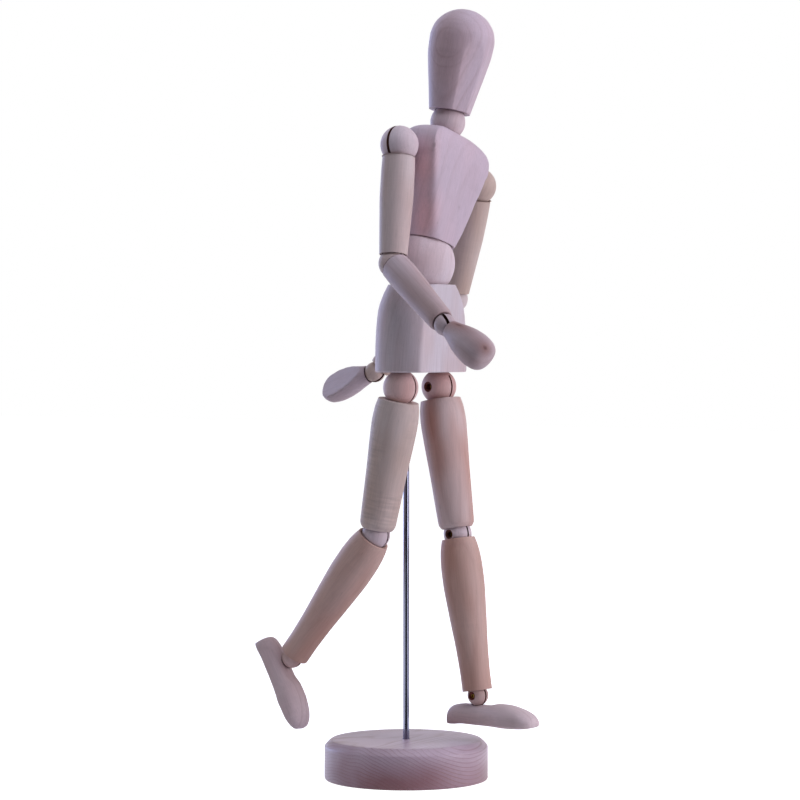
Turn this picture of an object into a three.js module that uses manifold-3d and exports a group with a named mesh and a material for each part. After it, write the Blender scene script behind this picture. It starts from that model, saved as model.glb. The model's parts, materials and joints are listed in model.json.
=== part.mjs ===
// A wooden artist's lay figure in a walking pose, held over a round stand by a steel rod.
// Millimetres, +Z up, origin at the centre of the stand's underside; the figure faces -Y.
// Every ball joint is a slotted wooden ball: its peg turns in the piece before it, and a flat
// steel link, hung on a cross pin in the slot, carries the cup of the piece after it.
import * as THREE from 'three';
import Module from 'manifold-3d';

const wasm = await Module();
wasm.setup();

// Fits
const GAP = 0.3;
const RIM_WALL = 0.5;
const LINK_THICKNESS = 0.6;
const EYE_WALL = 0.7;
const COUNTERSINK = 0.6;
const LINK_REACH = 7;
const PEG_LENGTH = 8;

// Stand
const BASE_DIAMETER = 65;
const BASE_THICKNESS = 15.8;
const BASE_TOP_ROUND = 2;
const BASE_FOOT_ROUND = 0.8;
const ROD_DIAMETER = 2.5;
const ROD_IN_BASE = 11;
const ROD_IN_PELVIS = 15;

// Ball diameters
const WAIST_BALL = 27.6;
const NECK_BALL = 14;
const SHOULDER_BALL = 15;
const ELBOW_BALL = 11.2;
const WRIST_BALL = 8.4;
const HIP_BALL = 13.9;
const KNEE_BALL = 11.2;
const ANKLE_BALL = 8.3;

// Where the balls sit; the lift is the lower foot's height over the stand
const FOOT_LIFT = 1.92581961;
const ROD_SETBACK = 6.6;
const HIP_SPACING = 27;
const WAIST_RISE = 49;
const SHOULDER_RISE = 40.4;
const SHOULDER_SPACING = 52.4;
const NECK_RISE = 58.6;

// Pelvis
const PELVIS_WIDTH = 42.2;
const PELVIS_TOP_WIDTH = 27.6;
const PELVIS_BACK = 16;
const PELVIS_TOP_BACK = 12;
const PELVIS_FLAT = 12.5;
const PELVIS_BELLY = 18.1;
const PELVIS_TOP_BELLY = 14.1;

// Chest
const CHEST_WIDTH = 38.8;
const CHEST_WAIST_WIDTH = 25;
const CHEST_FLAT = 11.7;
const CHEST_BACK = 11.8;
const CHEST_CROWN = 54.4;

// Head
const HEAD_HEIGHT = 45.8;
const HEAD_RADIUS = 13;
const HEAD_JAW_RADIUS = 8.4;
const FACE_RIDGE = 8.6;
const FACE_SLOPE = 11.5;
const FACE_TURN = 25;

// Limbs, from ball centre to ball centre, or to the tip
const UPPER_ARM_LENGTH = 47.4;
const UPPER_ARM_RADIUS = 6.6;
const UPPER_ARM_END_RADIUS = 5.8;
const FOREARM_LENGTH = 44.3;
const FOREARM_RADIUS = 6;
const FOREARM_END_RADIUS = 4.9;
const HAND_LENGTH = 25.6;
const HAND_RADIUS = 6.8;
const PALM_DEPTH = 3.6;
const PALM_SLOPE = 12.5;
const THIGH_LENGTH = 59.2;
const THIGH_RADIUS = 9.1;
const THIGH_END_RADIUS = 7.4;
const THIGH_END_ROUND = 2;
const SHIN_LENGTH = 64.4;
const SHIN_RADIUS = 8.25;
const SHIN_END_RADIUS = 5.9;
const FOOT_HEEL = 12.4;
const FOOT_TOE = 26.8;
const FOOT_SOLE = 12;
const FOOT_WIDTH = 12.6;

// Walking pose, in degrees: turn is the ball in its seat, bend is the piece on its pin
const POSE = {
  waist: { turn: -4.4, bend: 15.6, skew: 1.6 },
  neck: { turn: 9, bend: 2.4, skew: -6.4 },
  right: {
    shoulder: { turn: -5.6, bend: -5.6 },
    elbow: { turn: 76.4, bend: 50.6 },
    wrist: { turn: -33.6, bend: -3.6, skew: 10.7, twist: 147 },
    hip: { turn: 3, bend: 11.1 },
    knee: { turn: 0, bend: 26.8 },
    ankle: { turn: 0, bend: 21.3, twist: -3 },
  },
  left: {
    shoulder: { turn: 15.9, bend: 17.4 },
    elbow: { turn: 140.2, bend: 35.7 },
    wrist: { turn: -46, bend: 30, skew: -7, twist: 68 },
    hip: { turn: -8, bend: -9.7 },
    knee: { turn: 0, bend: 0.1 },
    ankle: { turn: 0, bend: 9, twist: 8 },
  },
};

const ROUND = 14;
const STAND_ROUND = 32;
const PIN_ROUND = 8;
const PELVIS_ROUND = 26;
const RING = Math.cos(Math.PI / ROUND);
const PIN_RING = Math.cos(Math.PI / PIN_ROUND);
const X_AXIS = new THREE.Vector3(1, 0, 0);
const Z_AXIS = new THREE.Vector3(0, 0, 1);
const rad = THREE.MathUtils.degToRad;
const lerp = THREE.MathUtils.lerp;

// How far a posed leg reaches below the hips, down to its heel or toe.
function legReach({ hip, knee, ankle }) {
  const thigh = rad(hip.bend);
  const shin = thigh + rad(knee.bend);
  const foot = shin + rad(ankle.bend);
  const end = Math.max(-FOOT_HEEL * Math.sin(foot), FOOT_TOE * Math.sin(foot));
  return THIGH_LENGTH * Math.cos(thigh) + SHIN_LENGTH * Math.cos(shin) + FOOT_SOLE * Math.cos(foot) + end;
}

const HIP_HEIGHT = BASE_THICKNESS + FOOT_LIFT + Math.max(legReach(POSE.right), legReach(POSE.left));

const LIMB_WOOD = new THREE.MeshStandardMaterial({ color: 0xcbb39b, roughness: 0.62, metalness: 0 });
const TORSO_WOOD = new THREE.MeshStandardMaterial({ color: 0xcdb8b4, roughness: 0.66, metalness: 0 });
const BASE_WOOD = new THREE.MeshStandardMaterial({ color: 0xc6aca4, roughness: 0.6, metalness: 0 });
const STEEL = new THREE.MeshStandardMaterial({ color: 0xb9bcc2, roughness: 0.25, metalness: 1 });
const BRASS = new THREE.MeshStandardMaterial({ color: 0xb08d4a, roughness: 0.35, metalness: 1 });

// Turns welded geometry into a solid that faces outward.
function solidOf(geometry) {
  const flat = geometry.index ? geometry.toNonIndexed() : geometry;
  const position = flat.getAttribute('position');
  const known = new Map();
  const vertices = [];
  const ids = [];
  for (let i = 0; i < position.count; i += 1) {
    const point = [position.getX(i), position.getY(i), position.getZ(i)];
    const key = point.map((v) => Math.round(v * 1e4)).join(' ');
    if (!known.has(key)) {
      known.set(key, vertices.length / 3);
      vertices.push(...point);
    }
    ids.push(known.get(key));
  }
  const faces = [];
  let volume = 0;
  for (let i = 0; i < ids.length; i += 3) {
    const [a, b, c] = ids.slice(i, i + 3);
    if (a === b || b === c || c === a) continue;
    faces.push(a, b, c);
    const [pa, pb, pc] = [a, b, c].map((v) => new THREE.Vector3().fromArray(vertices, 3 * v));
    volume += pa.dot(pb.cross(pc));
  }
  if (volume < 0) faces.reverse();
  return new wasm.Manifold(new wasm.Mesh({
    numProp: 3,
    vertProperties: new Float32Array(vertices),
    triVerts: new Uint32Array(faces),
  }));
}

function geometryOf(solid) {
  const made = solid.getMesh();
  const geometry = new THREE.BufferGeometry();
  geometry.setAttribute('position', new THREE.BufferAttribute(made.vertProperties, 3));
  geometry.setIndex(new THREE.BufferAttribute(made.triVerts, 1));
  const flat = geometry.toNonIndexed();
  flat.computeVertexNormals();
  return flat;
}

function piece(name, geometry, material) {
  const mesh = new THREE.Mesh(geometry, material);
  mesh.name = name;
  return mesh;
}

// A solid of revolution about Z from [radius, height] pairs.
function turned(profile, sides = ROUND) {
  const points = profile.map(([radius, height]) => new THREE.Vector2(radius, height));
  return new THREE.LatheGeometry(points, sides).rotateX(Math.PI / 2);
}

function rodAlong(axis, radius, length, sides = ROUND) {
  const geometry = new THREE.CylinderGeometry(radius, radius, length, sides);
  const turn = new THREE.Quaternion().setFromUnitVectors(new THREE.Vector3(0, 1, 0), axis);
  return geometry.applyQuaternion(turn);
}

// A plate drawn in the YZ plane and given thickness along X.
function plateAcrossX(shape, thickness, curveSegments) {
  const geometry = new THREE.ExtrudeGeometry(shape, { depth: thickness, bevelEnabled: false, curveSegments });
  const basis = new THREE.Matrix4().makeBasis(new THREE.Vector3(0, 1, 0), Z_AXIS, X_AXIS);
  return geometry.applyMatrix4(basis).translate(-thickness / 2, 0, 0);
}

// A closed skin over sections with equal point counts, capped at both ends.
function lofted(sections) {
  const around = sections[0].length;
  const position = sections.flat().flatMap((point) => point.toArray());
  const index = [];
  for (let level = 0; level + 1 < sections.length; level += 1) {
    for (let i = 0; i < around; i += 1) {
      const a = level * around + i;
      const b = level * around + ((i + 1) % around);
      index.push(a, b, b + around, a, b + around, a + around);
    }
  }
  const last = (sections.length - 1) * around;
  for (let i = 1; i + 1 < around; i += 1) {
    index.push(0, i + 1, i);
    index.push(last, last + i, last + i + 1);
  }
  const geometry = new THREE.BufferGeometry();
  geometry.setAttribute('position', new THREE.Float32BufferAttribute(position, 3));
  geometry.setIndex(index);
  return geometry;
}

// A block whose one face lies on the plane through `point` with outward normal `normal`.
function blockBeyond(point, normal, size) {
  const turn = new THREE.Quaternion().setFromUnitVectors(Z_AXIS, normal);
  const block = new THREE.BoxGeometry(size, size, size).translate(0, 0, size / 2);
  return block.applyQuaternion(turn).translate(point.x, point.y, point.z);
}

// Derived sizes of one ball joint. Seats are the rim planes of the two cups, in ball radii.
function ballJoint(diameter, pinDiameter, seats, slot, pegTilt = 180) {
  const radius = diameter / 2;
  const pin = pinDiameter / 2;
  const peg = 0.36 * radius;
  return {
    radius,
    pin,
    peg,
    pegTilt,
    slot,
    eye: pin + GAP + EYE_WALL,
    strip: pin + 0.2,
    cup: (radius + GAP) / (RING * RING),
    pegBore: (peg + GAP) / RING,
    pegEnd: radius + PEG_LENGTH,
    linkEnd: radius + LINK_REACH,
    before: seats[0] * radius,
    after: seats[1] * radius,
  };
}

// The bore that takes a link in the piece after the ball, wider where that piece sits askew.
function linkBore(joint, skew = 0) {
  const aside = LINK_THICKNESS / 2 + joint.linkEnd * Math.sin(rad(Math.abs(skew)));
  return (Math.hypot(joint.strip, aside) + GAP) / RING;
}

const WAIST = ballJoint(WAIST_BALL, 3, [0.62, 0.62], [-38, 38]);
const NECK = ballJoint(NECK_BALL, 2.2, [0.54, 0.62], [-40, 40]);
const SHOULDER = ballJoint(SHOULDER_BALL, 2.2, [0.8, 0.66], [-42, 150], -90);
const ELBOW = ballJoint(ELBOW_BALL, 1.9, [0.6, 0.5], [-112, 112]);
const WRIST = ballJoint(WRIST_BALL, 1.5, [0.6, 0.8], [-112, 112]);
const HIP = ballJoint(HIP_BALL, 2.2, [0.85, 0.75], [-118, 118]);
const KNEE = ballJoint(KNEE_BALL, 1.9, [0.43, 0.33], [-112, 112]);
const ANKLE = ballJoint(ANKLE_BALL, 1.5, [0.48, 0.8], [-112, 112]);

// Direction in the slot's plane, as an angle from the axis of the piece after the ball.
function slotPoint(angle, along, aside = 0) {
  const [s, c] = [Math.sin(angle), Math.cos(angle)];
  return new THREE.Vector2(along * s + aside * c, -along * c + aside * s);
}

function slotGeometry(joint) {
  const width = joint.strip + GAP;
  const reach = joint.radius * 1.4;
  const [from, to] = joint.slot.map(rad);
  const outline = [slotPoint(from, 0, -width), slotPoint(from, reach, -width)];
  for (let step = 0; step <= 6; step += 1) {
    outline.push(slotPoint(lerp(from, to, step / 6), reach));
  }
  outline.push(slotPoint(to, reach, width), slotPoint(to, 0, width));
  return plateAcrossX(new THREE.Shape(outline), LINK_THICKNESS + 2 * GAP, 1);
}

function ballGeometry(joint, holeSide) {
  const pegDirection = slotPoint(rad(joint.pegTilt), 1);
  const pegAxis = new THREE.Vector3(0, pegDirection.x, pegDirection.y);
  const peg = rodAlong(pegAxis, joint.peg, joint.pegEnd, PIN_ROUND);
  peg.translate(0, pegAxis.y * joint.pegEnd / 2, pegAxis.z * joint.pegEnd / 2);
  const hub = rodAlong(X_AXIS, (joint.eye + GAP) / PIN_RING, LINK_THICKNESS + 2 * GAP, PIN_ROUND);
  const depth = joint.radius * 1.8;
  const hole = rodAlong(X_AXIS, (joint.pin + GAP) / PIN_RING, depth, PIN_ROUND);
  hole.translate(holeSide * (joint.radius - depth / 2 + 0.1), 0, 0);
  const sink = rodAlong(X_AXIS, joint.pin + GAP + COUNTERSINK, joint.radius, PIN_ROUND);
  sink.translate(holeSide * joint.radius * 1.15, 0, 0);
  const ball = new THREE.SphereGeometry(joint.radius, ROUND, ROUND / 2).rotateX(Math.PI / 2);
  const solid = solidOf(ball).add(solidOf(peg));
  const cuts = [slotGeometry(joint), hub, hole, sink];
  return geometryOf(cuts.reduce((left, cut) => left.subtract(solidOf(cut)), solid));
}

function pinGeometry(joint, holeSide) {
  const length = joint.radius * 1.5;
  const pin = rodAlong(X_AXIS, joint.pin, length, PIN_ROUND);
  return pin.translate(holeSide * (joint.radius * 0.8 - length / 2), 0, 0);
}

// The flat steel link: an eye on the pin and a tongue into the next piece.
function linkGeometry(joint) {
  const meet = Math.asin(joint.strip / joint.eye);
  const outline = new THREE.Shape();
  outline.moveTo(-joint.strip, -joint.linkEnd);
  outline.lineTo(joint.strip, -joint.linkEnd);
  outline.absarc(0, 0, joint.eye, meet - Math.PI / 2, 1.5 * Math.PI - meet, false);
  outline.closePath();
  const eye = new THREE.Path();
  eye.absarc(0, 0, (joint.pin + GAP) / PIN_RING, 0, 2 * Math.PI, true);
  outline.holes.push(eye);
  return plateAcrossX(outline, LINK_THICKNESS, PIN_ROUND / 2);
}

// Profile points of a cup from its bore to its rim, about a ball centre at `height`; facing is
// -1 for the cup after the ball (below its centre) and 1 for the cup before it.
function cupProfile(joint, bore, seat, height, facing) {
  const start = Math.asin(bore / joint.cup);
  const end = Math.acos(seat / joint.cup);
  const steps = Math.ceil((end - start) / rad(23));
  const points = [];
  for (let i = 0; i <= steps; i += 1) {
    const angle = lerp(start, end, i / steps);
    points.push([joint.cup * Math.sin(angle), height + facing * joint.cup * Math.cos(angle)]);
  }
  return points;
}

function rimRadius(joint, seat) {
  return Math.sqrt(joint.cup ** 2 - seat ** 2) + RIM_WALL;
}

// The hollow end of a limb that hangs from the joint's link, ending at its outer rim.
function upperEnd(joint, skew = 0) {
  const bore = linkBore(joint, skew);
  const floor = -joint.linkEnd - GAP;
  const cup = cupProfile(joint, bore, joint.after, 0, -1);
  return [[0, floor], [bore, floor], ...cup, [rimRadius(joint, joint.after), -joint.after]];
}

// The hollow end of a limb that seats the next ball and its peg, starting at its outer rim.
function lowerEnd(joint, length) {
  const cup = cupProfile(joint, joint.pegBore, joint.before, -length, 1).reverse();
  const roof = -length + joint.pegEnd + GAP;
  const rim = [rimRadius(joint, joint.before), -length + joint.before];
  return [rim, ...cup, [joint.pegBore, roof], [0, roof]];
}

function limbGeometry(joint, next, length, contour) {
  const swell = contour.map(([part, radius]) => [radius, -part * length]);
  return geometryOf(solidOf(turned([...upperEnd(joint), ...swell, ...lowerEnd(next, length)])));
}

function upperArmGeometry() {
  return limbGeometry(SHOULDER, ELBOW, UPPER_ARM_LENGTH, [
    [0.17, lerp(UPPER_ARM_RADIUS, UPPER_ARM_END_RADIUS, 0.12)],
    [0.28, UPPER_ARM_RADIUS],
    [0.43, UPPER_ARM_RADIUS],
    [0.61, lerp(UPPER_ARM_RADIUS, UPPER_ARM_END_RADIUS, 0.45)],
    [0.78, lerp(UPPER_ARM_RADIUS, UPPER_ARM_END_RADIUS, 0.92)],
  ]);
}

function forearmGeometry() {
  return limbGeometry(ELBOW, WRIST, FOREARM_LENGTH, [
    [0.12, lerp(FOREARM_RADIUS, FOREARM_END_RADIUS, 0.12)],
    [0.22, FOREARM_RADIUS],
    [0.33, lerp(FOREARM_RADIUS, FOREARM_END_RADIUS, 0.08)],
    [0.5, lerp(FOREARM_RADIUS, FOREARM_END_RADIUS, 0.34)],
    [0.72, lerp(FOREARM_RADIUS, FOREARM_END_RADIUS, 0.75)],
    [0.9, FOREARM_END_RADIUS],
  ]);
}

function thighGeometry() {
  const corner = (THIGH_LENGTH - KNEE.before) / THIGH_LENGTH;
  const round = THIGH_END_ROUND / THIGH_LENGTH;
  return limbGeometry(HIP, KNEE, THIGH_LENGTH, [
    [0.11, lerp(THIGH_RADIUS, THIGH_END_RADIUS, 0.5)],
    [0.16, lerp(THIGH_RADIUS, THIGH_END_RADIUS, 0.15)],
    [0.25, THIGH_RADIUS],
    [0.36, lerp(THIGH_RADIUS, THIGH_END_RADIUS, 0.14)],
    [0.58, lerp(THIGH_RADIUS, THIGH_END_RADIUS, 0.6)],
    [0.84, THIGH_END_RADIUS],
    [corner - round, 0.96 * THIGH_END_RADIUS],
    [corner - round * 0.3, lerp(THIGH_END_RADIUS, rimRadius(KNEE, KNEE.before), 0.6)],
  ]);
}

function shinGeometry() {
  return limbGeometry(KNEE, ANKLE, SHIN_LENGTH, [
    [0.07, lerp(SHIN_RADIUS, SHIN_END_RADIUS, 0.42)],
    [0.13, lerp(SHIN_RADIUS, SHIN_END_RADIUS, 0.15)],
    [0.22, SHIN_RADIUS],
    [0.3, SHIN_RADIUS],
    [0.5, lerp(SHIN_RADIUS, SHIN_END_RADIUS, 0.35)],
    [0.72, lerp(SHIN_RADIUS, SHIN_END_RADIUS, 0.82)],
    [0.88, SHIN_END_RADIUS],
    [(SHIN_LENGTH - ANKLE.before) / SHIN_LENGTH, SHIN_END_RADIUS],
  ]);
}

// A turned egg with one sloping flat for the palm, which faces +Y before the hand is twisted.
function handGeometry(skew) {
  const swell = [
    [0.26, 0.67], [0.4, 0.83], [0.55, 0.95], [0.7, 1], [0.84, 0.95], [0.93, 0.78], [0.985, 0.42],
  ].map(([part, share]) => [share * HAND_RADIUS, -part * HAND_LENGTH]);
  const egg = turned([...upperEnd(WRIST, skew), ...swell, [0, -HAND_LENGTH]]);
  const slope = rad(PALM_SLOPE);
  const normal = new THREE.Vector3(0, Math.cos(slope), -Math.sin(slope));
  const palm = blockBeyond(new THREE.Vector3(0, PALM_DEPTH, -0.3 * HAND_LENGTH), normal, 2 * HAND_LENGTH);
  return geometryOf(solidOf(egg).subtract(solidOf(palm)));
}

// A shoe shape lofted from heel to toe over a flat sole, cupped on top for the ankle ball.
function footGeometry() {
  const half = FOOT_WIDTH / 2;
  const instep = -ANKLE.after;
  const stations = [
    [FOOT_HEEL, 0.4, 0.5, 0.18],
    [0.84 * FOOT_HEEL, 0.7, 0.2, 0.1],
    [0.45 * FOOT_HEEL, 0.8, 0.02, 0.08],
    [0, 0.8, 0.02, 0.06],
    [-0.2 * FOOT_TOE, 0.84, 0.03, 0.05],
    [-0.38 * FOOT_TOE, 0.92, -0.06, 0.03],
    [-0.54 * FOOT_TOE, 1, -0.04, 0],
    [-0.74 * FOOT_TOE, 1, 0.2, 0],
    [-0.9 * FOOT_TOE, 0.8, 0.47, 0.02],
    [-FOOT_TOE, 0.4, 0.7, 0.08],
  ];
  const sections = stations.map(([along, width, topDrop, soleRise]) => {
    const w = half * width;
    const top = lerp(instep, -FOOT_SOLE, topDrop);
    const sole = lerp(-FOOT_SOLE, instep, soleRise);
    const rise = top - sole;
    const rightSide = [[0.82, 0], [1, 0.22], [0.95, 0.58], [0.7, 0.88], [0.3, 1]];
    const leftSide = rightSide.map(([x, z]) => [-x, z]).reverse();
    return [...rightSide, ...leftSide].map(([x, z]) => new THREE.Vector3(x * w, along, sole + z * rise));
  });
  const bore = rodAlong(Z_AXIS, linkBore(ANKLE), ANKLE.linkEnd + GAP);
  bore.translate(0, 0, -(ANKLE.linkEnd + GAP) / 2);
  const cup = new THREE.SphereGeometry(ANKLE.cup, ROUND, ROUND / 2).rotateX(Math.PI / 2);
  return geometryOf(solidOf(lofted(sections)).subtract(solidOf(cup)).subtract(solidOf(bore)));
}

function headGeometry(skew) {
  const jaw = NECK.after;
  const skull = [
    [0.3, 0.36], [0.6, 0.74], [0.82, 0.96], [1, 1],
  ].map(([part, share]) => [
    lerp(HEAD_JAW_RADIUS, HEAD_RADIUS, share),
    lerp(jaw, HEAD_HEIGHT - 0.95 * HEAD_RADIUS, part),
  ]);
  const crown = [20, 40, 58, 75].map((angle) => [
    HEAD_RADIUS * Math.cos(rad(angle)),
    HEAD_HEIGHT - 0.95 * HEAD_RADIUS * (1 - Math.sin(rad(angle))),
  ]);
  const bore = linkBore(NECK, skew);
  const roof = NECK.linkEnd + GAP;
  const cup = cupProfile(NECK, bore, jaw, 0, 1);
  const egg = turned([[0, roof], [bore, roof], ...cup, [HEAD_JAW_RADIUS, jaw], ...skull, ...crown,
    [0, HEAD_HEIGHT]], ROUND + 8);
  const slope = rad(FACE_SLOPE);
  const ridge = new THREE.Vector3(0, -Math.sin(slope), Math.cos(slope));
  const chin = new THREE.Vector3(0, -FACE_RIDGE, jaw);
  let solid = solidOf(egg);
  for (const side of [-1, 1]) {
    const normal = new THREE.Vector3(0, -Math.cos(slope), -Math.sin(slope));
    normal.applyAxisAngle(ridge, side * rad(FACE_TURN));
    solid = solid.subtract(solidOf(blockBeyond(chin, normal, 3 * HEAD_HEIGHT)));
  }
  return geometryOf(solid);
}

// Cuts the seat of a ball and its peg bore into a torso piece.
function seated(solid, joint, centre, pegAxis) {
  const depth = joint.pegEnd + GAP;
  const middle = centre.clone().addScaledVector(pegAxis, depth / 2);
  const cup = new THREE.SphereGeometry(joint.cup, ROUND, ROUND / 2).rotateX(Math.PI / 2);
  const bore = rodAlong(pegAxis, joint.pegBore, depth);
  const cut = solid.subtract(solidOf(cup.translate(centre.x, centre.y, centre.z)));
  return cut.subtract(solidOf(bore.translate(middle.x, middle.y, middle.z)));
}

// An oval frustum with a flat front, about the middle of the hip line.
function pelvisGeometry() {
  const bottom = HIP.before;
  const top = WAIST_RISE - WAIST.before;
  const levels = [
    [0, 0.91, 0.94], [0.025, 1, 1], [0.2, 0.98, 0.99], [0.45, 0.89, 0.96],
    [0.7, 0.69, 0.84], [0.88, 0.35, 0.43], [1, 0, 0],
  ];
  const sections = levels.map(([part, spread, fullness]) => {
    const half = lerp(PELVIS_TOP_WIDTH / 2, PELVIS_WIDTH / 2, spread);
    const back = lerp(PELVIS_TOP_BACK, PELVIS_BACK, fullness);
    const belly = lerp(PELVIS_TOP_BELLY, PELVIS_BELLY, fullness);
    const ring = [];
    for (let i = 0; i < PELVIS_ROUND; i += 1) {
      const angle = (2 * Math.PI * i) / PELVIS_ROUND;
      const reach = Math.sin(angle) > 0 ? back : belly;
      ring.push(new THREE.Vector3(half * Math.cos(angle), reach * Math.sin(angle), lerp(bottom, top, part)));
    }
    return ring;
  });
  const front = blockBeyond(new THREE.Vector3(0, -PELVIS_FLAT, 0), new THREE.Vector3(0, -1, 0), 200);
  let solid = solidOf(lofted(sections)).subtract(solidOf(front));
  const down = new THREE.Vector3(0, 0, -1);
  solid = seated(solid, WAIST, new THREE.Vector3(0, 0, WAIST_RISE), down);
  solid = seated(solid, HIP, new THREE.Vector3(HIP_SPACING / 2, 0, 0), Z_AXIS);
  solid = seated(solid, HIP, new THREE.Vector3(-HIP_SPACING / 2, 0, 0), Z_AXIS);
  const depth = ROD_IN_PELVIS + GAP;
  const bore = rodAlong(Z_AXIS, (ROD_DIAMETER / 2 + GAP) / RING, 2 * depth);
  return geometryOf(solid.subtract(solidOf(bore.translate(0, ROD_SETBACK, bottom))));
}

// A tapered block with a flat front, bevelled sides, a round back and domed shoulders,
// about the centre of the waist ball.
function chestGeometry(skew) {
  const base = WAIST.after;
  const levels = [
    [0, 0, 0.98, 0.58], [0.17, 0.11, 1, 0.84], [0.38, 0.4, 1, 0.97], [0.58, 0.75, 0.99, 0.98],
    [0.74, 0.98, 0.96, 0.95], [0.82, 1, 0.92, 0.93], [0.89, 0.87, 0.84, 0.9], [0.945, 0.5, 0.7, 0.85],
    [0.985, -0.1, 0.52, 0.81], [1, -0.5, 0.36, 0.8],
  ];
  const outline = [[0, -1], [0.62, -0.68], [1, -0.2], [1, 0.25], [0.9, 0.66], [0.66, 0.92], [0.3, 1]];
  const sections = levels.map(([part, spread, depth, flat]) => {
    const half = lerp(CHEST_WAIST_WIDTH / 2, CHEST_WIDTH / 2, spread);
    const edge = flat * half;
    const height = lerp(base, CHEST_CROWN, part);
    const rightHalf = outline.map(([side, along], i) => {
      const across = i < 3 ? lerp(edge, half, side) : half * side;
      return new THREE.Vector3(across, depth * along * (along < 0 ? CHEST_FLAT : CHEST_BACK), height);
    });
    const leftHalf = rightHalf.map((point) => new THREE.Vector3(-point.x, point.y, point.z)).reverse();
    return [...rightHalf, ...leftHalf];
  });
  let solid = solidOf(lofted(sections));
  const cup = new THREE.SphereGeometry(WAIST.cup, ROUND + 4, ROUND / 2 + 2).rotateX(Math.PI / 2);
  solid = solid.subtract(solidOf(cup));
  const bore = rodAlong(Z_AXIS, linkBore(WAIST, skew), WAIST.linkEnd + GAP);
  solid = solid.subtract(solidOf(bore.translate(0, 0, (WAIST.linkEnd + GAP) / 2)));
  solid = seated(solid, NECK, new THREE.Vector3(0, 0, NECK_RISE), new THREE.Vector3(0, 0, -1));
  for (const side of [-1, 1]) {
    const centre = new THREE.Vector3(side * SHOULDER_SPACING / 2, 0, SHOULDER_RISE);
    solid = seated(solid, SHOULDER, centre, new THREE.Vector3(-side, 0, 0));
  }
  return geometryOf(solid);
}

function baseGeometry() {
  const radius = BASE_DIAMETER / 2;
  const shoulder = [30, 60, 90].map((angle) => [
    radius - BASE_TOP_ROUND * (1 - Math.cos(rad(angle))),
    BASE_THICKNESS - BASE_TOP_ROUND * (1 - Math.sin(rad(angle))),
  ]);
  const bore = (ROD_DIAMETER / 2 + GAP) / Math.cos(Math.PI / STAND_ROUND);
  const floor = BASE_THICKNESS - ROD_IN_BASE - GAP;
  const profile = [[0, 0], [radius - BASE_FOOT_ROUND, 0], [radius, BASE_FOOT_ROUND],
    [radius, BASE_THICKNESS - BASE_TOP_ROUND], ...shoulder,
    [bore, BASE_THICKNESS], [bore, floor], [0, floor]];
  return geometryOf(solidOf(turned(profile, STAND_ROUND)));
}

function rodGeometry() {
  const foot = BASE_THICKNESS - ROD_IN_BASE;
  const head = HIP_HEIGHT + HIP.before + ROD_IN_PELVIS;
  return rodAlong(Z_AXIS, ROD_DIAMETER / 2, head - foot, 12).translate(0, 0, (head + foot) / 2);
}

function aboutAxis(axis, degrees) {
  return new THREE.Quaternion().setFromAxisAngle(axis, rad(degrees));
}

// Adds a ball with its pin and link; the group returned carries the next piece on the pin.
function addJoint(parent, name, joint, centre, turn, pose, holeSide) {
  const ball = new THREE.Group();
  ball.name = `${name}_turn`;
  ball.position.copy(centre);
  ball.quaternion.copy(turn);
  ball.add(piece(`${name}_ball`, ballGeometry(joint, holeSide), LIMB_WOOD));
  ball.add(piece(`${name}_pin`, pinGeometry(joint, holeSide), BRASS));
  const carried = new THREE.Group();
  carried.name = `${name}_bend`;
  carried.quaternion.copy(aboutAxis(X_AXIS, pose.bend));
  carried.add(piece(`${name}_link`, linkGeometry(joint), STEEL));
  ball.add(carried);
  parent.add(ball);
  return carried;
}

// A piece that sits askew on its link, and may be twisted about its own axis.
function addAskew(parent, mesh, pose) {
  mesh.rotation.order = 'YZX';
  mesh.rotation.set(0, rad(pose.skew ?? 0), rad(pose.twist ?? 0));
  parent.add(mesh);
}

function addArm(chest, side, sign) {
  const pose = POSE[side];
  const centre = new THREE.Vector3(sign * SHOULDER_SPACING / 2, 0, SHOULDER_RISE);
  const swing = aboutAxis(X_AXIS, pose.shoulder.turn).multiply(aboutAxis(Z_AXIS, -90 * sign));
  const upper = addJoint(chest, `${side}_shoulder`, SHOULDER, centre, swing, pose.shoulder, -sign);
  upper.add(piece(`${side}_upper_arm`, upperArmGeometry(), LIMB_WOOD));
  const elbow = new THREE.Vector3(0, 0, -UPPER_ARM_LENGTH);
  const elbowTurn = aboutAxis(Z_AXIS, pose.elbow.turn);
  const fore = addJoint(upper, `${side}_elbow`, ELBOW, elbow, elbowTurn, pose.elbow, sign);
  fore.add(piece(`${side}_forearm`, forearmGeometry(), LIMB_WOOD));
  const wrist = new THREE.Vector3(0, 0, -FOREARM_LENGTH);
  const wristTurn = aboutAxis(Z_AXIS, pose.wrist.turn);
  const palm = addJoint(fore, `${side}_wrist`, WRIST, wrist, wristTurn, pose.wrist, sign);
  addAskew(palm, piece(`${side}_hand`, handGeometry(pose.wrist.skew), LIMB_WOOD), pose.wrist);
}

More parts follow.
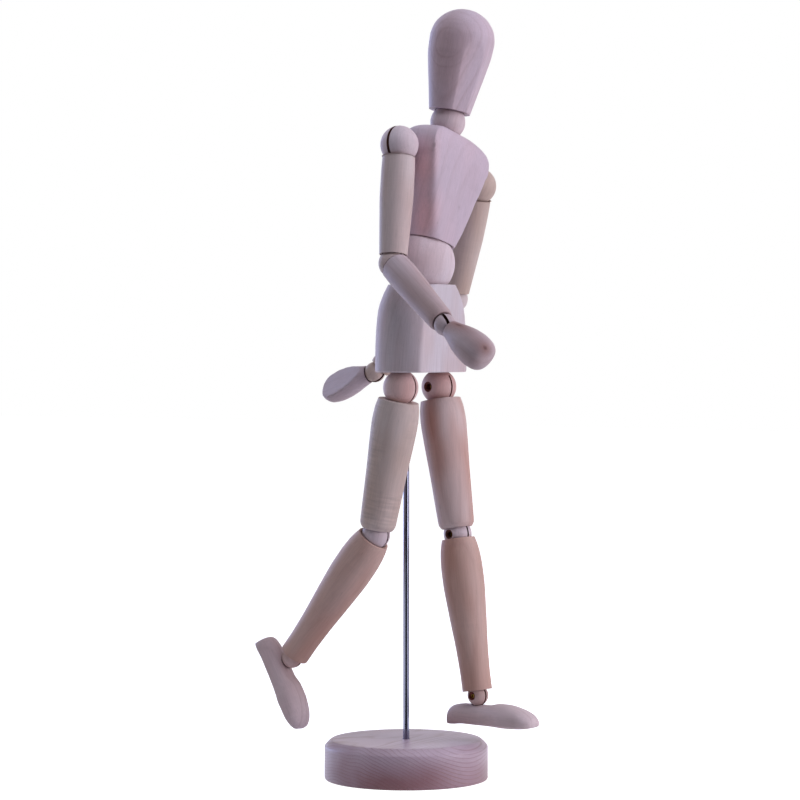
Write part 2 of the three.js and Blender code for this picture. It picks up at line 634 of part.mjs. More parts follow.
function addLeg(pelvis, side, sign) {
  const pose = POSE[side];
  const centre = new THREE.Vector3(sign * HIP_SPACING / 2, 0, 0);
  const hipTurn = aboutAxis(Z_AXIS, pose.hip.turn);
  const thigh = addJoint(pelvis, `${side}_hip`, HIP, centre, hipTurn, pose.hip, -sign);
  thigh.add(piece(`${side}_thigh`, thighGeometry(), LIMB_WOOD));
  const knee = new THREE.Vector3(0, 0, -THIGH_LENGTH);
  const kneeTurn = aboutAxis(Z_AXIS, pose.knee.turn);
  const shin = addJoint(thigh, `${side}_knee`, KNEE, knee, kneeTurn, pose.knee, -sign);
  shin.add(piece(`${side}_shin`, shinGeometry(), LIMB_WOOD));
  const ankle = new THREE.Vector3(0, 0, -SHIN_LENGTH);
  const ankleTurn = aboutAxis(Z_AXIS, pose.ankle.turn);
  const foot = addJoint(shin, `${side}_ankle`, ANKLE, ankle, ankleTurn, pose.ankle, -sign);
  addAskew(foot, piece(`${side}_foot`, footGeometry(), LIMB_WOOD), pose.ankle);
}

const figure = new THREE.Group();
figure.name = 'lay_figure';
figure.add(piece('base_disc', baseGeometry(), BASE_WOOD));
figure.add(piece('stand_rod', rodGeometry(), STEEL));

const pelvis = new THREE.Group();
pelvis.name = 'figure_turn';
pelvis.position.set(0, -ROD_SETBACK, HIP_HEIGHT);
pelvis.add(piece('pelvis', pelvisGeometry(), TORSO_WOOD));
figure.add(pelvis);

const waistSeat = new THREE.Vector3(0, 0, WAIST_RISE);
const waistTurn = aboutAxis(Z_AXIS, POSE.waist.turn + 90).multiply(aboutAxis(X_AXIS, 180));
const leaning = addJoint(pelvis, 'waist', WAIST, waistSeat, waistTurn, POSE.waist, 1);
const chest = new THREE.Group();
chest.quaternion.copy(aboutAxis(X_AXIS, 180)).multiply(aboutAxis(Z_AXIS, -90));
chest.quaternion.multiply(aboutAxis(X_AXIS, POSE.waist.skew));
chest.add(piece('chest', chestGeometry(POSE.waist.skew), TORSO_WOOD));
leaning.add(chest);

const neckSeat = new THREE.Vector3(0, 0, NECK_RISE);
const neckTurn = aboutAxis(Z_AXIS, POSE.neck.turn).multiply(aboutAxis(X_AXIS, 180));
const nodding = addJoint(chest, 'neck', NECK, neckSeat, neckTurn, POSE.neck, 1);
const skull = new THREE.Group();
skull.quaternion.copy(aboutAxis(X_AXIS, 180));
addAskew(skull, piece('head', headGeometry(POSE.neck.skew), TORSO_WOOD), POSE.neck);
nodding.add(skull);

addArm(chest, 'right', -1);
addArm(chest, 'left', 1);
addLeg(pelvis, 'right', -1);
addLeg(pelvis, 'left', 1);

export default figure;
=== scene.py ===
"""Looks of a jointed wooden artist's mannequin, walking over a round stand.

Every visible solid of the frame is replaced by a finer skin with the same sizes. Sizes are in
millimetres; a piece's place is in its mesh, in metres, so all objects sit at the origin.
"""
import json
import logging
import math
from dataclasses import dataclass, field
from enum import Enum
from typing import ClassVar

import bmesh
import bpy
import numpy as np
from mathutils import Matrix, Vector


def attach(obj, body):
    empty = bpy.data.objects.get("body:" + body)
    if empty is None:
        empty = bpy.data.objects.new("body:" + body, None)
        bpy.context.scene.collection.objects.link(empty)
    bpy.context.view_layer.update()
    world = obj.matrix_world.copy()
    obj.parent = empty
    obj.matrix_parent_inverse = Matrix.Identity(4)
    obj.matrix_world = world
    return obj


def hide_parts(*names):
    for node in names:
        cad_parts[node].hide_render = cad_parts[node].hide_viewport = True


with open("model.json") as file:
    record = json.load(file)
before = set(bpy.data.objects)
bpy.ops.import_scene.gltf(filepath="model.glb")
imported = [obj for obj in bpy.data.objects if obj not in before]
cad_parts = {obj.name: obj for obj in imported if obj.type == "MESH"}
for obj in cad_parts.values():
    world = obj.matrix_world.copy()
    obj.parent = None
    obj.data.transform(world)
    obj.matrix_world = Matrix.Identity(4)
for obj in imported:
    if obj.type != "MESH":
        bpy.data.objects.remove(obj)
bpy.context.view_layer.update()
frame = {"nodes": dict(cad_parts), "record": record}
LOG = logging.getLogger("lay_figure")

Triple = tuple[float, float, float]
Rgba = tuple[float, float, float, float]
Knot = tuple[float, float, float, float]
Blush = tuple[Triple, Triple, float]
Cup = tuple[Triple, float]

MM = 0.001
HIP_HEIGHT = 155.8

# Fits inside a joint, in millimetres.
CLEARANCE = 0.3
CUP_CLEARANCE = 1.15 * CLEARANCE
RIM_WALL = 0.6
LINK_THICKNESS = 0.6
LINK_REACH = 7.0
EYE_WALL = 0.7
COUNTERSINK = 0.6
PEG_LENGTH = 8.0
PEG_CHAMFER = 0.5
PEG_SHARE = 0.36

# Columns round a limb, and the least bend in degrees that is shaded as an edge.
AROUND = 96
CREASE = 38.0
# Step that keeps neighbouring rows apart where a surface turns sharply.
HAIR = 0.02
# Painted shade in a cup, as a share of the dark colour painted into slots and pin holes; one is that
# colour in full.
CUP_PAINTED_SHADE = 0.45


class Side(Enum):
    """The figure's own sides, with the sign of X on each."""

    RIGHT = -1
    LEFT = 1

    @property
    def word(self) -> str:
        """The side's name as used in piece and body names."""
        return self.name.lower()


class Fibre(Enum):
    """Which way the fibres run in a piece, as the turn from the piece's axes to the tree's."""

    # Along the piece's own axis, as in anything turned between centres.
    ALONG = ("X", 0.0)
    # From front to back, as in a foot cut along a plank.
    ACROSS = ("X", 90.0)
    # From side to side, as in a disc sawn from a board.
    SIDEWAYS = ("Y", 90.0)


def linear(code: str) -> Rgba:
    """Turns an sRGB hex colour into linear RGBA.

    Args:
        code: Six hex digits after a hash.

    Returns:
        Linear red, green, blue and an alpha of one.
    """
    parts = [int(code[i:i + 2], 16) / 255 for i in (1, 3, 5)]
    values = [p / 12.92 if p <= 0.04045 else ((p + 0.055) / 1.055) ** 2.4 for p in parts]
    return (*values, 1.0)


def grey(value: float) -> Rgba:
    """A grey RGBA value."""
    return (value, value, value, 1.0)


def rotation(axis: str, degrees: float) -> np.ndarray:
    """Gives the 3 by 3 matrix of a right-handed turn about X, Y or Z."""
    return np.array(Matrix.Rotation(math.radians(degrees), 3, axis))


def circle(count: int) -> np.ndarray:
    """Equal steps of angle once round, in radians."""
    return np.linspace(0, 2 * math.pi, count, endpoint=False)


def rings(radius: np.ndarray, height: np.ndarray, angle: np.ndarray) -> np.ndarray:
    """Puts points round Z: each is [radius cos angle, radius sin angle, height].

    Args:
        radius: One radius per row, or per row and column.
        height: One height per row.
        angle: One angle per column, in radians.

    Returns:
        An array of rows by columns by 3.
    """
    grids = np.broadcast_arrays(radius * np.cos(angle), radius * np.sin(angle), height)
    return np.stack(grids, axis=-1)


def lathe(profile: np.ndarray, around: int) -> np.ndarray:
    """Turns rows of radius and height into circles about Z, with a number of columns."""
    return rings(profile[:, :1], profile[:, 1:], circle(around))


def pinch(row: np.ndarray) -> np.ndarray:
    """Draws one row of points together into its middle, which closes an end."""
    return np.broadcast_to(row.mean(axis=1, keepdims=True), row.shape)


def painted_shade_rows(*spans: tuple[int, float]) -> np.ndarray:
    """Gives one painted-shade value per row, from spans of a row count and a value."""
    counts, values = zip(*spans)
    return np.repeat(np.array(values, dtype=float), counts)


def smooth_curve(knots: np.ndarray, count: int) -> np.ndarray:
    """Runs a monotone cubic through rows of values, with the row number as its parameter.

    Each column is a cubic Hermite curve whose slopes are the harmonic means of the steps on both
    sides, and zero where those steps differ in sign, so it never overshoots.

    Args:
        knots: Rows of values to pass through.
        count: Number of rows wanted.

    Returns:
        The rows of the smooth curve, the first and last knots included.
    """
    step = np.diff(knots, axis=0)
    before, after = step[:-1], step[1:]
    agree = before * after > 0
    total = np.where(agree, before + after, 1.0)
    inner = np.where(agree, 2 * before * after / total, 0.0)
    slope = np.concatenate([step[:1], inner, step[-1:]])
    at = np.linspace(0, len(knots) - 1, count)
    low = np.minimum(at.astype(int), len(knots) - 2)
    t = (at - low)[:, None]
    rise = (1 + 2 * t) * (1 - t) ** 2 * knots[low] + t * (1 - t) ** 2 * slope[low]
    fall = t ** 2 * (3 - 2 * t) * knots[low + 1] + t ** 2 * (t - 1) * slope[low + 1]
    return rise + fall


def soft_least(*radii: np.ndarray, sharpness: float | np.ndarray = 60.0) -> np.ndarray:
    """Blends radii into the least of them, with the corner lightly sanded.

    The formula is the power mean: the sum of r to the minus p, to the power minus one over p.

    Args:
        radii: Arrays of radii; very large where a cut does not reach.
        sharpness: The power p; larger leaves a keener edge.

    Returns:
        An array of rows by columns.
    """
    grids = np.broadcast_arrays(*radii)
    least = np.minimum.reduce(grids)
    total = sum((least / r) ** sharpness for r in grids)
    return least * total ** (-1 / sharpness)


def facet_radius(distance: np.ndarray, cosine: np.ndarray) -> np.ndarray:
    """Radius at which a ray meets a plane: its distance over the cosine, or far away behind it."""
    least, far = 1e-3, 1e4
    return np.where(cosine > least, distance / np.maximum(cosine, least), far)


def cup_rows(radius: float, bore: float, seat: float, centre: float, facing: int) -> np.ndarray:
    """Profile of a cup from its bore to its rim, an arc of a circle about the ball's centre.

    Args:
        radius: Radius of the cup.
        bore: Radius of the hole at its bottom.
        seat: Distance of the rim's plane from the ball's centre.
        centre: Height of the ball's centre.
        facing: -1 for a cup below the ball, 1 for one above it.

    Returns:
        Rows of radius and height.
    """
    angle = np.linspace(math.asin(bore / radius), math.acos(seat / radius), 12)
    return np.stack([radius * np.sin(angle), centre + facing * radius * np.cos(angle)], axis=1)


@dataclass(frozen=True)
class Seat:
    """A place on the figure: a turn and an origin in millimetres."""

    turn: np.ndarray
    origin: np.ndarray

    def then(self, offset: Triple, *turns: np.ndarray) -> "Seat":
        """Moves along this seat's own axes, then turns.

        Args:
            offset: Shift in this seat's axes, in millimetres.
            turns: Matrices applied one after the other, in the moved axes.

        Returns:
            The new seat.
        """
        turn = self.turn
        for matrix in turns:
            turn = turn @ matrix
        return Seat(turn, self.origin + self.turn @ np.array(offset, dtype=float))

    def place(self, points: np.ndarray) -> np.ndarray:
        """Carries points from this seat's axes into the frame, in millimetres."""
        return points @ self.turn.T + self.origin

    def unplace(self, points: np.ndarray) -> np.ndarray:
        """Carries points of the frame back into this seat's axes, in millimetres."""
        return (points - self.origin) @ self.turn


# No shift, for a seat that only turns.
HERE: Triple = (0.0, 0.0, 0.0)


@dataclass(frozen=True)
class Cut:
    """How a piece lay in the tree, and the marks that it carries.

    The pith is given across the fibres, the lean in degrees and the shift along them. A knot is a
    centre and a radius; a blush is a centre, three radii and a strength.
    """

    pith: tuple[float, float] = (24.0, 10.0)
    lean: float = 2.5
    shift: float = 0.0
    fibre: Fibre = Fibre.ALONG
    knots: tuple[Knot, ...] = ()
    blushes: tuple[Blush, ...] = ()

    def coordinates(self, local: np.ndarray) -> np.ndarray:
        """Gives wood coordinates: Z runs along the fibres and the pith is the line X = Y = 0.

        Args:
            local: Points in the piece's own axes, in millimetres.

        Returns:
            The same points in the tree's axes, in millimetres.
        """
        tilt = rotation("X", self.lean) @ rotation("Y", 0.6 * self.lean)
        wood = local @ (rotation(*self.fibre.value) @ tilt)
        return wood - np.array([self.pith[0], self.pith[1], -self.shift])

    def knot_field(self, local: np.ndarray) -> np.ndarray:
        """Gives the nearness to the nearest knot: one less the distance over its radius.

        Args:
            local: Points in the piece's own axes, in millimetres.

        Returns:
            One value per point, from one at a heart down to zero at a rim.
        """
        nearness = np.zeros(len(local))
        for x, y, z, radius in self.knots:
            reach = np.linalg.norm(local - np.array([x, y, z]), axis=1) / radius
            nearness = np.maximum(nearness, 1 - np.minimum(reach, 1))
        return nearness

    def blush_field(self, local: np.ndarray) -> np.ndarray:
        """Sums soft ellipsoids, each half a cosine wave high.

        Args:
            local: Points in the piece's own axes, in millimetres.

        Returns:
            One value per point: warmer above zero, paler below it. On the chest's right bevel the
                warmth is painted light bounced from an arm.
        """
        warmth = np.zeros(len(local))
        for centre, radii, strength in self.blushes:
            reach = np.linalg.norm((local - np.array(centre)) / np.array(radii), axis=1)
            warmth += strength * (1 + np.cos(math.pi * np.minimum(reach, 1))) / 2
        return warmth


@dataclass
class Skin:
    """A closed surface on a grid of rows and columns; the columns run round and meet."""

    points: np.ndarray
    stain: np.ndarray

    @staticmethod
    def of_rows(points: np.ndarray, stain: np.ndarray | float = 0.0) -> "Skin":
        """Wraps a grid of points.

        Args:
            points: An array of rows by columns by 3.
            stain: Painted shade, one value per row, or one for all.

        Returns:
            The skin.
        """
        given = np.asarray(stain, dtype=float)
        if given.ndim == 1:
            given = given[:, None]
        return Skin(points, np.broadcast_to(given, points.shape[:2]))

    @staticmethod
    def turned(
        profile: np.ndarray, stain: np.ndarray | float = 0.0, around: int = AROUND
    ) -> "Skin":
        """Turns a profile about Z: each [radius, height] row becomes a circle.

        Args:
            profile: Rows of radius and height that start and end on the axis.
            stain: Painted shade, one value per row, or one for all.
            around: Number of columns.

        Returns:
            The skin of the turned piece.
        """
        return Skin.of_rows(lathe(profile, around), stain)

    def swung(self, turn: np.ndarray) -> "Skin":
        """The same skin, turned about its origin."""
        return Skin(self.points @ turn.T, self.stain)

    def faces(self, start: int) -> np.ndarray:
        """Lists the quads between neighbouring rows and columns.

        Args:
            start: Number of the first vertex.

        Returns:
            Rows of four vertex numbers.
        """
        number = start + np.arange(self.stain.size).reshape(self.stain.shape)
        beside = np.roll(number, -1, axis=1)
        quads = np.stack([number[:-1], beside[:-1], beside[1:], number[1:]], axis=-1)
        return quads.reshape(-1, 4)


@dataclass(frozen=True)
class Joint:
    """Sizes of one slotted ball joint.

    Seats are the rim planes of the cups before and after the ball, in ball radii. The slot's ends
    and the peg's tilt are in degrees, and the pin's depth is in ball radii.
    """

    diameter: float
    pin_diameter: float
    seats: tuple[float, float]
    slot: tuple[float, float]
    peg_tilt: float = 180.0
    slot_width: float = 1.2
    pin_depth: float = 0.62

    @property
    def radius(self) -> float:
        """Radius of the ball."""
        return self.diameter / 2

    @property
    def pin(self) -> float:
        """Radius of the cross pin."""
        return self.pin_diameter / 2

    @property
    def peg(self) -> float:
        """Radius of the peg."""
        return PEG_SHARE * self.radius

    @property
    def strip(self) -> float:
        """Half the width of the link's tongue."""
        return self.pin + 0.2

    @property
    def eye(self) -> float:
        """Outer radius of the link's eye."""
        return self.pin + CLEARANCE + EYE_WALL

    @property
    def cup(self) -> float:
        """Radius of the cups on both sides."""
        return self.radius + CUP_CLEARANCE

    @property
    def peg_end(self) -> float:
        """Distance of the peg's end from the ball's centre."""
        return self.radius + PEG_LENGTH

    @property
    def link_end(self) -> float:
        """Distance of the link's end from the ball's centre."""
        return self.radius + LINK_REACH

    @property
    def before(self) -> float:
        """Rim plane of the cup before the ball."""
        return self.seats[0] * self.radius

    @property
    def after(self) -> float:
        """Rim plane of the cup after the ball."""
        return self.seats[1] * self.radius

    def rim(self, seat: float) -> float:
        """Outer radius of a cup's rim, for a rim plane at a distance from the centre."""
        return math.sqrt(self.cup ** 2 - seat ** 2) + RIM_WALL

    def link_bore(self, skew: float = 0.0) -> float:
        """Radius of the hole that takes the link, wider where the piece sits askew."""
        aside = LINK_THICKNESS / 2 + self.link_end * math.sin(math.radians(abs(skew)))
        return math.hypot(self.strip, aside) + CLEARANCE

    def socket(self, skew: float, facing: int) -> np.ndarray:
        """Profile of the cup after the ball with its link's bore, from the axis to the rim.

        Args:
            skew: Degrees by which the piece sits askew on its link.
            facing: -1 for a piece that hangs below the ball, 1 for one that stands on it.

        Returns:
            Rows of radius and height about the ball's centre.
        """
        bore, end = self.link_bore(skew), facing * (self.link_end + CLEARANCE)
        cup = cup_rows(self.cup, bore, self.after, 0, facing)
        return np.concatenate([[[0, end], [bore, end]], cup])

    def ball_skin(self, hole_side: int) -> Skin:
        """Builds the slotted ball about its centre, with the pin along X.

        A row is an angle about X. Its columns run from the countersunk pin hole over the sphere to
        the slot's edge, down one wall and up the other where that angle lies in the slot, and over
        the sphere to the far pole.

        Args:
            hole_side: The sign of X on which the pin's hole opens.

        Returns:
            The skin, with the slot and the pin hole darkened as painted shade.
        """
        r = self.radius
        half = self.slot_width / 2
        edge = math.sqrt(r * r - half * half)
        floor = self.eye + CLEARANCE

        spread = math.degrees(math.asin(min(0.9, (self.strip + CLEARANCE) / r)))
        first, last = self.slot[0] - spread, self.slot[1] + spread
        cut = np.linspace(first, last, 72)
        solid = np.linspace(last + HAIR, first + 360 - HAIR, 48)
        angle = np.radians(np.concatenate([cut, solid]))[:, None]
        in_slot = np.arange(len(angle))[:, None] < len(cut)

        hole = self.pin + CLEARANCE
        sink = hole + COUNTERSINK
        mouth = math.sqrt(r * r - sink * sink)
        drill_x = np.array([0.5 * r, 0.5 * r, mouth - 0.8 * COUNTERSINK])
        drill_r = np.array([0.0, hole, hole])
        brim, shore = math.asin(mouth / r), math.asin(half / r)
        near = np.concatenate([[brim], np.linspace(brim - HAIR, shore, 26)])
        left = np.concatenate([drill_x, r * np.sin(near)])
        left_r = np.concatenate([drill_r, r * np.cos(near)])

        across = np.linspace(half, -half, 6)[1:-1]
        wall_x = np.where(in_slot, np.array([half, half, -half, -half]), across)
        deep = np.array([edge - HAIR, floor, floor, edge - HAIR])
        wall_r = np.where(in_slot, deep, np.sqrt(r * r - across ** 2))
        far = np.linspace(shore, math.pi / 2, 30)

        column = np.ones_like(angle)
        x = np.concatenate([column * left, wall_x, column * (-r * np.sin(far))], axis=1)
        rho = np.concatenate([column * left_r, wall_r, column * (r * np.cos(far))], axis=1)
        points = np.stack([hole_side * x, rho * np.sin(angle), -rho * np.cos(angle)], axis=-1)
        # Painted shade: the pin hole and the slot's walls and floor are darkened.
        stain = np.zeros(x.shape)
        stain[:, :len(drill_x) + 1] = 1.0
        stain[:, len(left):len(left) + len(across)] = in_slot
        return Skin(points.transpose(1, 0, 2), stain.T)

    def peg_skin(self) -> Skin:
        """Builds the peg that turns in the piece before the ball, as a capped cylinder.

        Returns:
            The skin about the ball's centre.
        """
        start, end = 0.72 * self.radius, self.peg_end
        profile = np.array([
            [0, start], [self.peg, start], [self.peg, end - PEG_CHAMFER],
            [self.peg - PEG_CHAMFER, end], [0, end],
        ])
        return Skin.turned(profile, around=32).swung(rotation("X", 180 + self.peg_tilt))

    def pin_skin(self, hole_side: int) -> Skin:
        """Builds the tubular cross pin along X, rolled over at its seen end.

        Args:
            hole_side: The sign of X on which the pin's end is seen.

        Returns:
            The skin about the ball's centre.
        """
        start, end = -0.7 * self.radius, self.pin_depth * self.radius
        outer, bore = self.pin, 0.52 * self.pin
        profile = np.array([
            [0, start], [outer, start], [outer, end - 0.25], [0.9 * outer, end - 0.05],
            [0.72 * outer, end], [bore + 0.08, end - 0.08], [bore, end - 0.3],
            [bore, end - 1.4], [0, end - 1.4],
        ])
        return Skin.turned(profile, around=32).swung(rotation("Y", 90 * hole_side))


WAIST = Joint(27.6, 3.0, (0.62, 0.62), (-38, 38))
NECK = Joint(14.0, 2.2, (0.54, 0.62), (-40, 40))
SHOULDER = Joint(15.0, 2.2, (0.8, 0.66), (-42, 150), -90)
ELBOW = Joint(11.2, 1.9, (0.6, 0.5), (-112, 112), slot_width=0.9)
WRIST = Joint(8.4, 1.5, (0.6, 0.8), (-112, 112))
HIP = Joint(13.9, 2.2, (0.85, 0.75), (-118, 118), slot_width=0.8)
KNEE = Joint(11.2, 1.9, (0.43, 0.33), (-112, 112), slot_width=0.8)
ANKLE = Joint(8.3, 1.5, (0.48, 0.8), (-112, 112), slot_width=0.8, pin_depth=0.82)


def add_node(
    tree: bpy.types.NodeTree,
    kind: str,
    inputs: dict[int | str, object] | None = None,
    out: int | str = 0,
    stops: tuple[tuple[float, float], ...] = (),
    **settings: object,
) -> bpy.types.NodeSocket:
    """Adds a node, sets it up and fills or links its inputs.

    Args:
        tree: The node tree.
        kind: The node's type name after "ShaderNode".
        inputs: Values or output sockets by input name or number.
        out: Name or number of the output that is wanted.
        stops: Positions and grey levels, for a colour ramp.
        settings: Properties of the node.

    Returns:
        The wanted output socket.
    """
    node = tree.nodes.new(f"ShaderNode{kind}")
    for key, value in settings.items():
        setattr(node, key, value)
    if stops:
        elements = node.color_ramp.elements
        while len(elements) < len(stops):
            elements.new(1.0)
        for element, (position, level) in zip(elements, stops):
            element.position = position
            element.color = grey(level)
    for key, value in (inputs or {}).items():
        if isinstance(value, bpy.types.NodeSocket):
            tree.links.new(value, node.inputs[key])
        else:
            node.inputs[key].default_value = value
    return node.outputs[out]


@dataclass(frozen=True)
class Finish:
    """A surface, named for what it is made of and how it was made."""

    name: str

    def material(self) -> bpy.types.Material:
        """Makes the procedural material, once for each name.

        Returns:
            The material.
        """
        if self.name not in bpy.data.materials:
            made = bpy.data.materials.new(self.name)
            made.use_nodes = True
            self.paint(made.node_tree, made.node_tree.nodes["Principled BSDF"])
        return bpy.data.materials[self.name]

    def paint(self, tree: bpy.types.NodeTree, shader: bpy.types.Node) -> None:
        """Fills in the node tree; each kind of finish does this in its own way."""
        raise NotImplementedError


@dataclass(frozen=True)
class Wood(Finish):
    """A pale close-grained hardwood, sanded bare: faint rings, fine fibres and hardly any gloss.

    Pale and warm are the wood's two tones; the dark colour is that of knots, and also of the painted
    shade in slots, pin holes and cups; line is that of the rings. Depths are shares of the tone, and
    the ring's floor is the share of its depth that is left where rings fade.
    """

    pale: str
    warm: str
    knot_and_shade_colour: str
    line: str = "#8a5f58"
    ring_mm: float = 3.4
    ring_depth: float = 0.34
    ring_floor: float = 0.15
    fibre_depth: float = 0.08
    curl_depth: float = 0.02
    patch_depth: float = 1.0
    roughness: float = 0.62

    # Size of each noise's features in millimetres, across the fibres and along them, and octaves.
    # Fibres are about 0.05 mm wide and flecks 0.1 mm; both are drawn coarser so that they show.
    NOISES: ClassVar[dict[str, Triple]] = {
        "drift": (30.0, 110.0, 2.0),
        "fade": (14.0, 50.0, 2.0),
        "fibre": (0.45, 11.0, 3.0),
        "curl": (9.0, 0.9, 2.0),
        "where": (20.0, 16.0, 1.0),
        "fleck": (0.6, 3.2, 1.0),
        "patch": (19.0, 48.0, 2.0),
    }
    DRIFT_MM: ClassVar[float] = 2.6
    BUMP_M: ClassVar[float] = 0.00012
    # A year's ring is pale for most of its width, then darkens and ends in a line.
    YEAR: ClassVar[tuple[tuple[float, float], ...]] = (
        (0.0, 0.0), (0.62, 0.12), (0.84, 1.0), (0.93, 0.3), (1.0, 0.0))
    KNOT: ClassVar[tuple[tuple[float, float], ...]] = (
        (0.0, 0.0), (0.3, 0.05), (0.62, 0.08), (0.9, 0.3))
    # How many rings a knot pushes aside.
    KNOT_LIFT: ClassVar[float] = 2.2

    def paint(self, tree: bpy.types.NodeTree, shader: bpy.types.Node) -> None:
        """Draws rings, fibres, curl, flecks, patches, knots and painted shade on the wood
        coordinates.

        A ring's phase is the distance from the pith over the ring's width. Noise bends the rings,
        and another lets them fade; a knot lifts the phase, so that they run round it.

        Args:
            tree: The material's node tree.
            shader: Its Principled BSDF.
        """
        layers = {"grain": "Vector", "stain": "Fac", "knot": "Fac", "blush": "Fac"}
        wood, stain, knot, blush = (
            add_node(tree, "Attribute", out=out, attribute_name=name)
            for name, out in layers.items())
        noise = {}
        for name, (across, along, octaves) in self.NOISES.items():
            signed = name == "drift"
            scaled = add_node(tree, "VectorMath", {0: wood, 1: (1 / across, 1 / across, 1 / along)},
                              operation="MULTIPLY")
            noise[name] = add_node(
                tree, "TexNoise",
                {"Vector": scaled, "Scale": 1.0, "Detail": octaves, "Roughness": 0.55},
                "Color" if signed else "Fac", normalize=not signed)

        bent = add_node(tree, "VectorMath",
                        {0: noise["drift"], 1: (self.DRIFT_MM, self.DRIFT_MM, 0.0), 2: wood},
                        operation="MULTIPLY_ADD")
        flat = add_node(tree, "VectorMath", {0: bent, 1: (1.0, 1.0, 0.0)}, operation="MULTIPLY")
        pith = add_node(tree, "VectorMath", {0: flat}, "Value", operation="LENGTH")
        ranges = {
            "rings": (noise["fade"], 0.36, 0.66, self.ring_floor * self.ring_depth, self.ring_depth),
            "heart": (pith, 0.8, 4.6, 0.75, 0.0),
            "speck": (pith, 0.25, 0.9, 0.6, 0.0),
            "fibre": (noise["fibre"], 0.25, 0.75, 1 - self.fibre_depth, 1 + self.fibre_depth),
            "waves": (noise["curl"], 0.3, 0.7, -self.curl_depth, self.curl_depth),
            "curly": (noise["where"], 0.42, 0.6, 0.0, 1.0),
            "fleck": (noise["fleck"], 0.7, 0.8, 1.0, 0.86),
            "patch": (noise["patch"], 0.36, 0.68, 0.0, self.patch_depth),
            "rough": (noise["fibre"], 0.0, 1.0, self.roughness - 0.07, self.roughness + 0.07),
        }
        sockets = ("Value", "From Min", "From Max", "To Min", "To Max")
        tone = {name: add_node(tree, "MapRange", dict(zip(sockets, values)))
                for name, values in ranges.items()}

        lifted = add_node(tree, "Math", {0: knot, 1: self.KNOT_LIFT * self.ring_mm, 2: pith},
                          operation="MULTIPLY_ADD")
        phase = add_node(tree, "Math", {0: lifted, 1: self.ring_mm}, operation="DIVIDE")
        year = add_node(tree, "Math", {0: phase}, operation="FRACT")
        ring = add_node(tree, "ValToRGB", {"Fac": year}, stops=self.YEAR)
        faded = add_node(tree, "Math", {0: ring, 1: tone["rings"]}, operation="MULTIPLY")
        lines = add_node(tree, "Math", {0: faded, 1: tone["heart"]}, operation="MAXIMUM")

        curl = add_node(tree, "Math", {0: tone["waves"], 1: tone["curly"], 2: 1.0},
                        operation="MULTIPLY_ADD")
        shade = tone["fibre"]
        for factor in (curl, tone["fleck"]):
            shade = add_node(tree, "Math", {0: shade, 1: factor}, operation="MULTIPLY")
        # Knots and pith specks are the wood's own dark marks; the same dark colour is painted shade
        # in slots, pin holes and cups.
        knots_and_painted_shade = add_node(tree, "ValToRGB", {"Fac": knot}, stops=self.KNOT)
        for mark in (tone["speck"], stain):
            knots_and_painted_shade = add_node(tree, "Math", {0: knots_and_painted_shade, 1: mark}, operation="MAXIMUM")
        # Warmth is the random patches plus the blushes; on the chest's right bevel the blushes are
        # painted light bounced from an arm.
        warmth = add_node(tree, "Math", {0: tone["patch"], 1: blush}, operation="ADD",
                          use_clamp=True)

        colour = linear(self.pale)
        for factor, other in ((warmth, self.warm), (lines, self.line)):
            colour = add_node(tree, "Mix", {"Factor": factor, 6: colour, 7: linear(other)}, 2,
                              data_type="RGBA")
        toned = add_node(tree, "VectorMath", {0: colour, "Scale": shade}, operation="SCALE")
        colour = add_node(tree, "Mix", {"Factor": knots_and_painted_shade, 6: toned, 7: linear(self.knot_and_shade_colour)}, 2,
                          data_type="RGBA")
        bump = add_node(tree, "Bump", {"Strength": 0.25, "Distance": self.BUMP_M, "Height": shade})
        for name, socket in (("Base Color", colour), ("Roughness", tone["rough"]), ("Normal", bump)):
            tree.links.new(socket, shader.inputs[name])
        shader.inputs["Specular IOR Level"].default_value = 0.35


@dataclass(frozen=True)
class Metal(Finish):
    """A drawn metal: bright, with fine marks along its length."""

    colour: str
    roughness: float
    # Drawing marks are about 0.02 mm wide; drawn at 0.4 mm so that they show.
    mark_mm: float = 0.4
    mark_stretch: float = 60.0

    def paint(self, tree: bpy.types.NodeTree, shader: bpy.types.Node) -> None:
        """Draws the marks as noise on Object coordinates, stretched along Z.

        Args:
            tree: The material's node tree.
            shader: Its Principled BSDF.
        """
        where = add_node(tree, "TexCoord", out="Object")
        fine = 1 / (self.mark_mm * MM)
        drawn = add_node(tree, "VectorMath", {0: where, 1: (fine, fine, fine / self.mark_stretch)},
                         operation="MULTIPLY")
        marks = add_node(tree, "TexNoise", {"Vector": drawn, "Scale": 1.0, "Detail": 3.0}, "Fac")
        rough = add_node(tree, "MapRange", {"Value": marks, "To Min": 0.85 * self.roughness,
                                            "To Max": 1.2 * self.roughness})
        tarnish = add_node(tree, "MapRange", {"Value": marks, "From Min": 0.3, "From Max": 0.7,
                                              "To Min": 0.9, "To Max": 1.05})
        tone = add_node(tree, "VectorMath", {0: linear(self.colour)[:3], "Scale": tarnish},
                        operation="SCALE")
        tree.links.new(rough, shader.inputs["Roughness"])
        tree.links.new(tone, shader.inputs["Base Color"])
        shader.inputs["Metallic"].default_value = 1.0


@dataclass(frozen=True)
class Felt(Finish):
    """Black felt on a card: no gloss at all, so that metal mirrors something dark."""

    colour: str

    def paint(self, tree: bpy.types.NodeTree, shader: bpy.types.Node) -> None:
        """Sets one dull colour."""
        shader.inputs["Base Color"].default_value = linear(self.colour)
        shader.inputs["Roughness"].default_value = 0.95


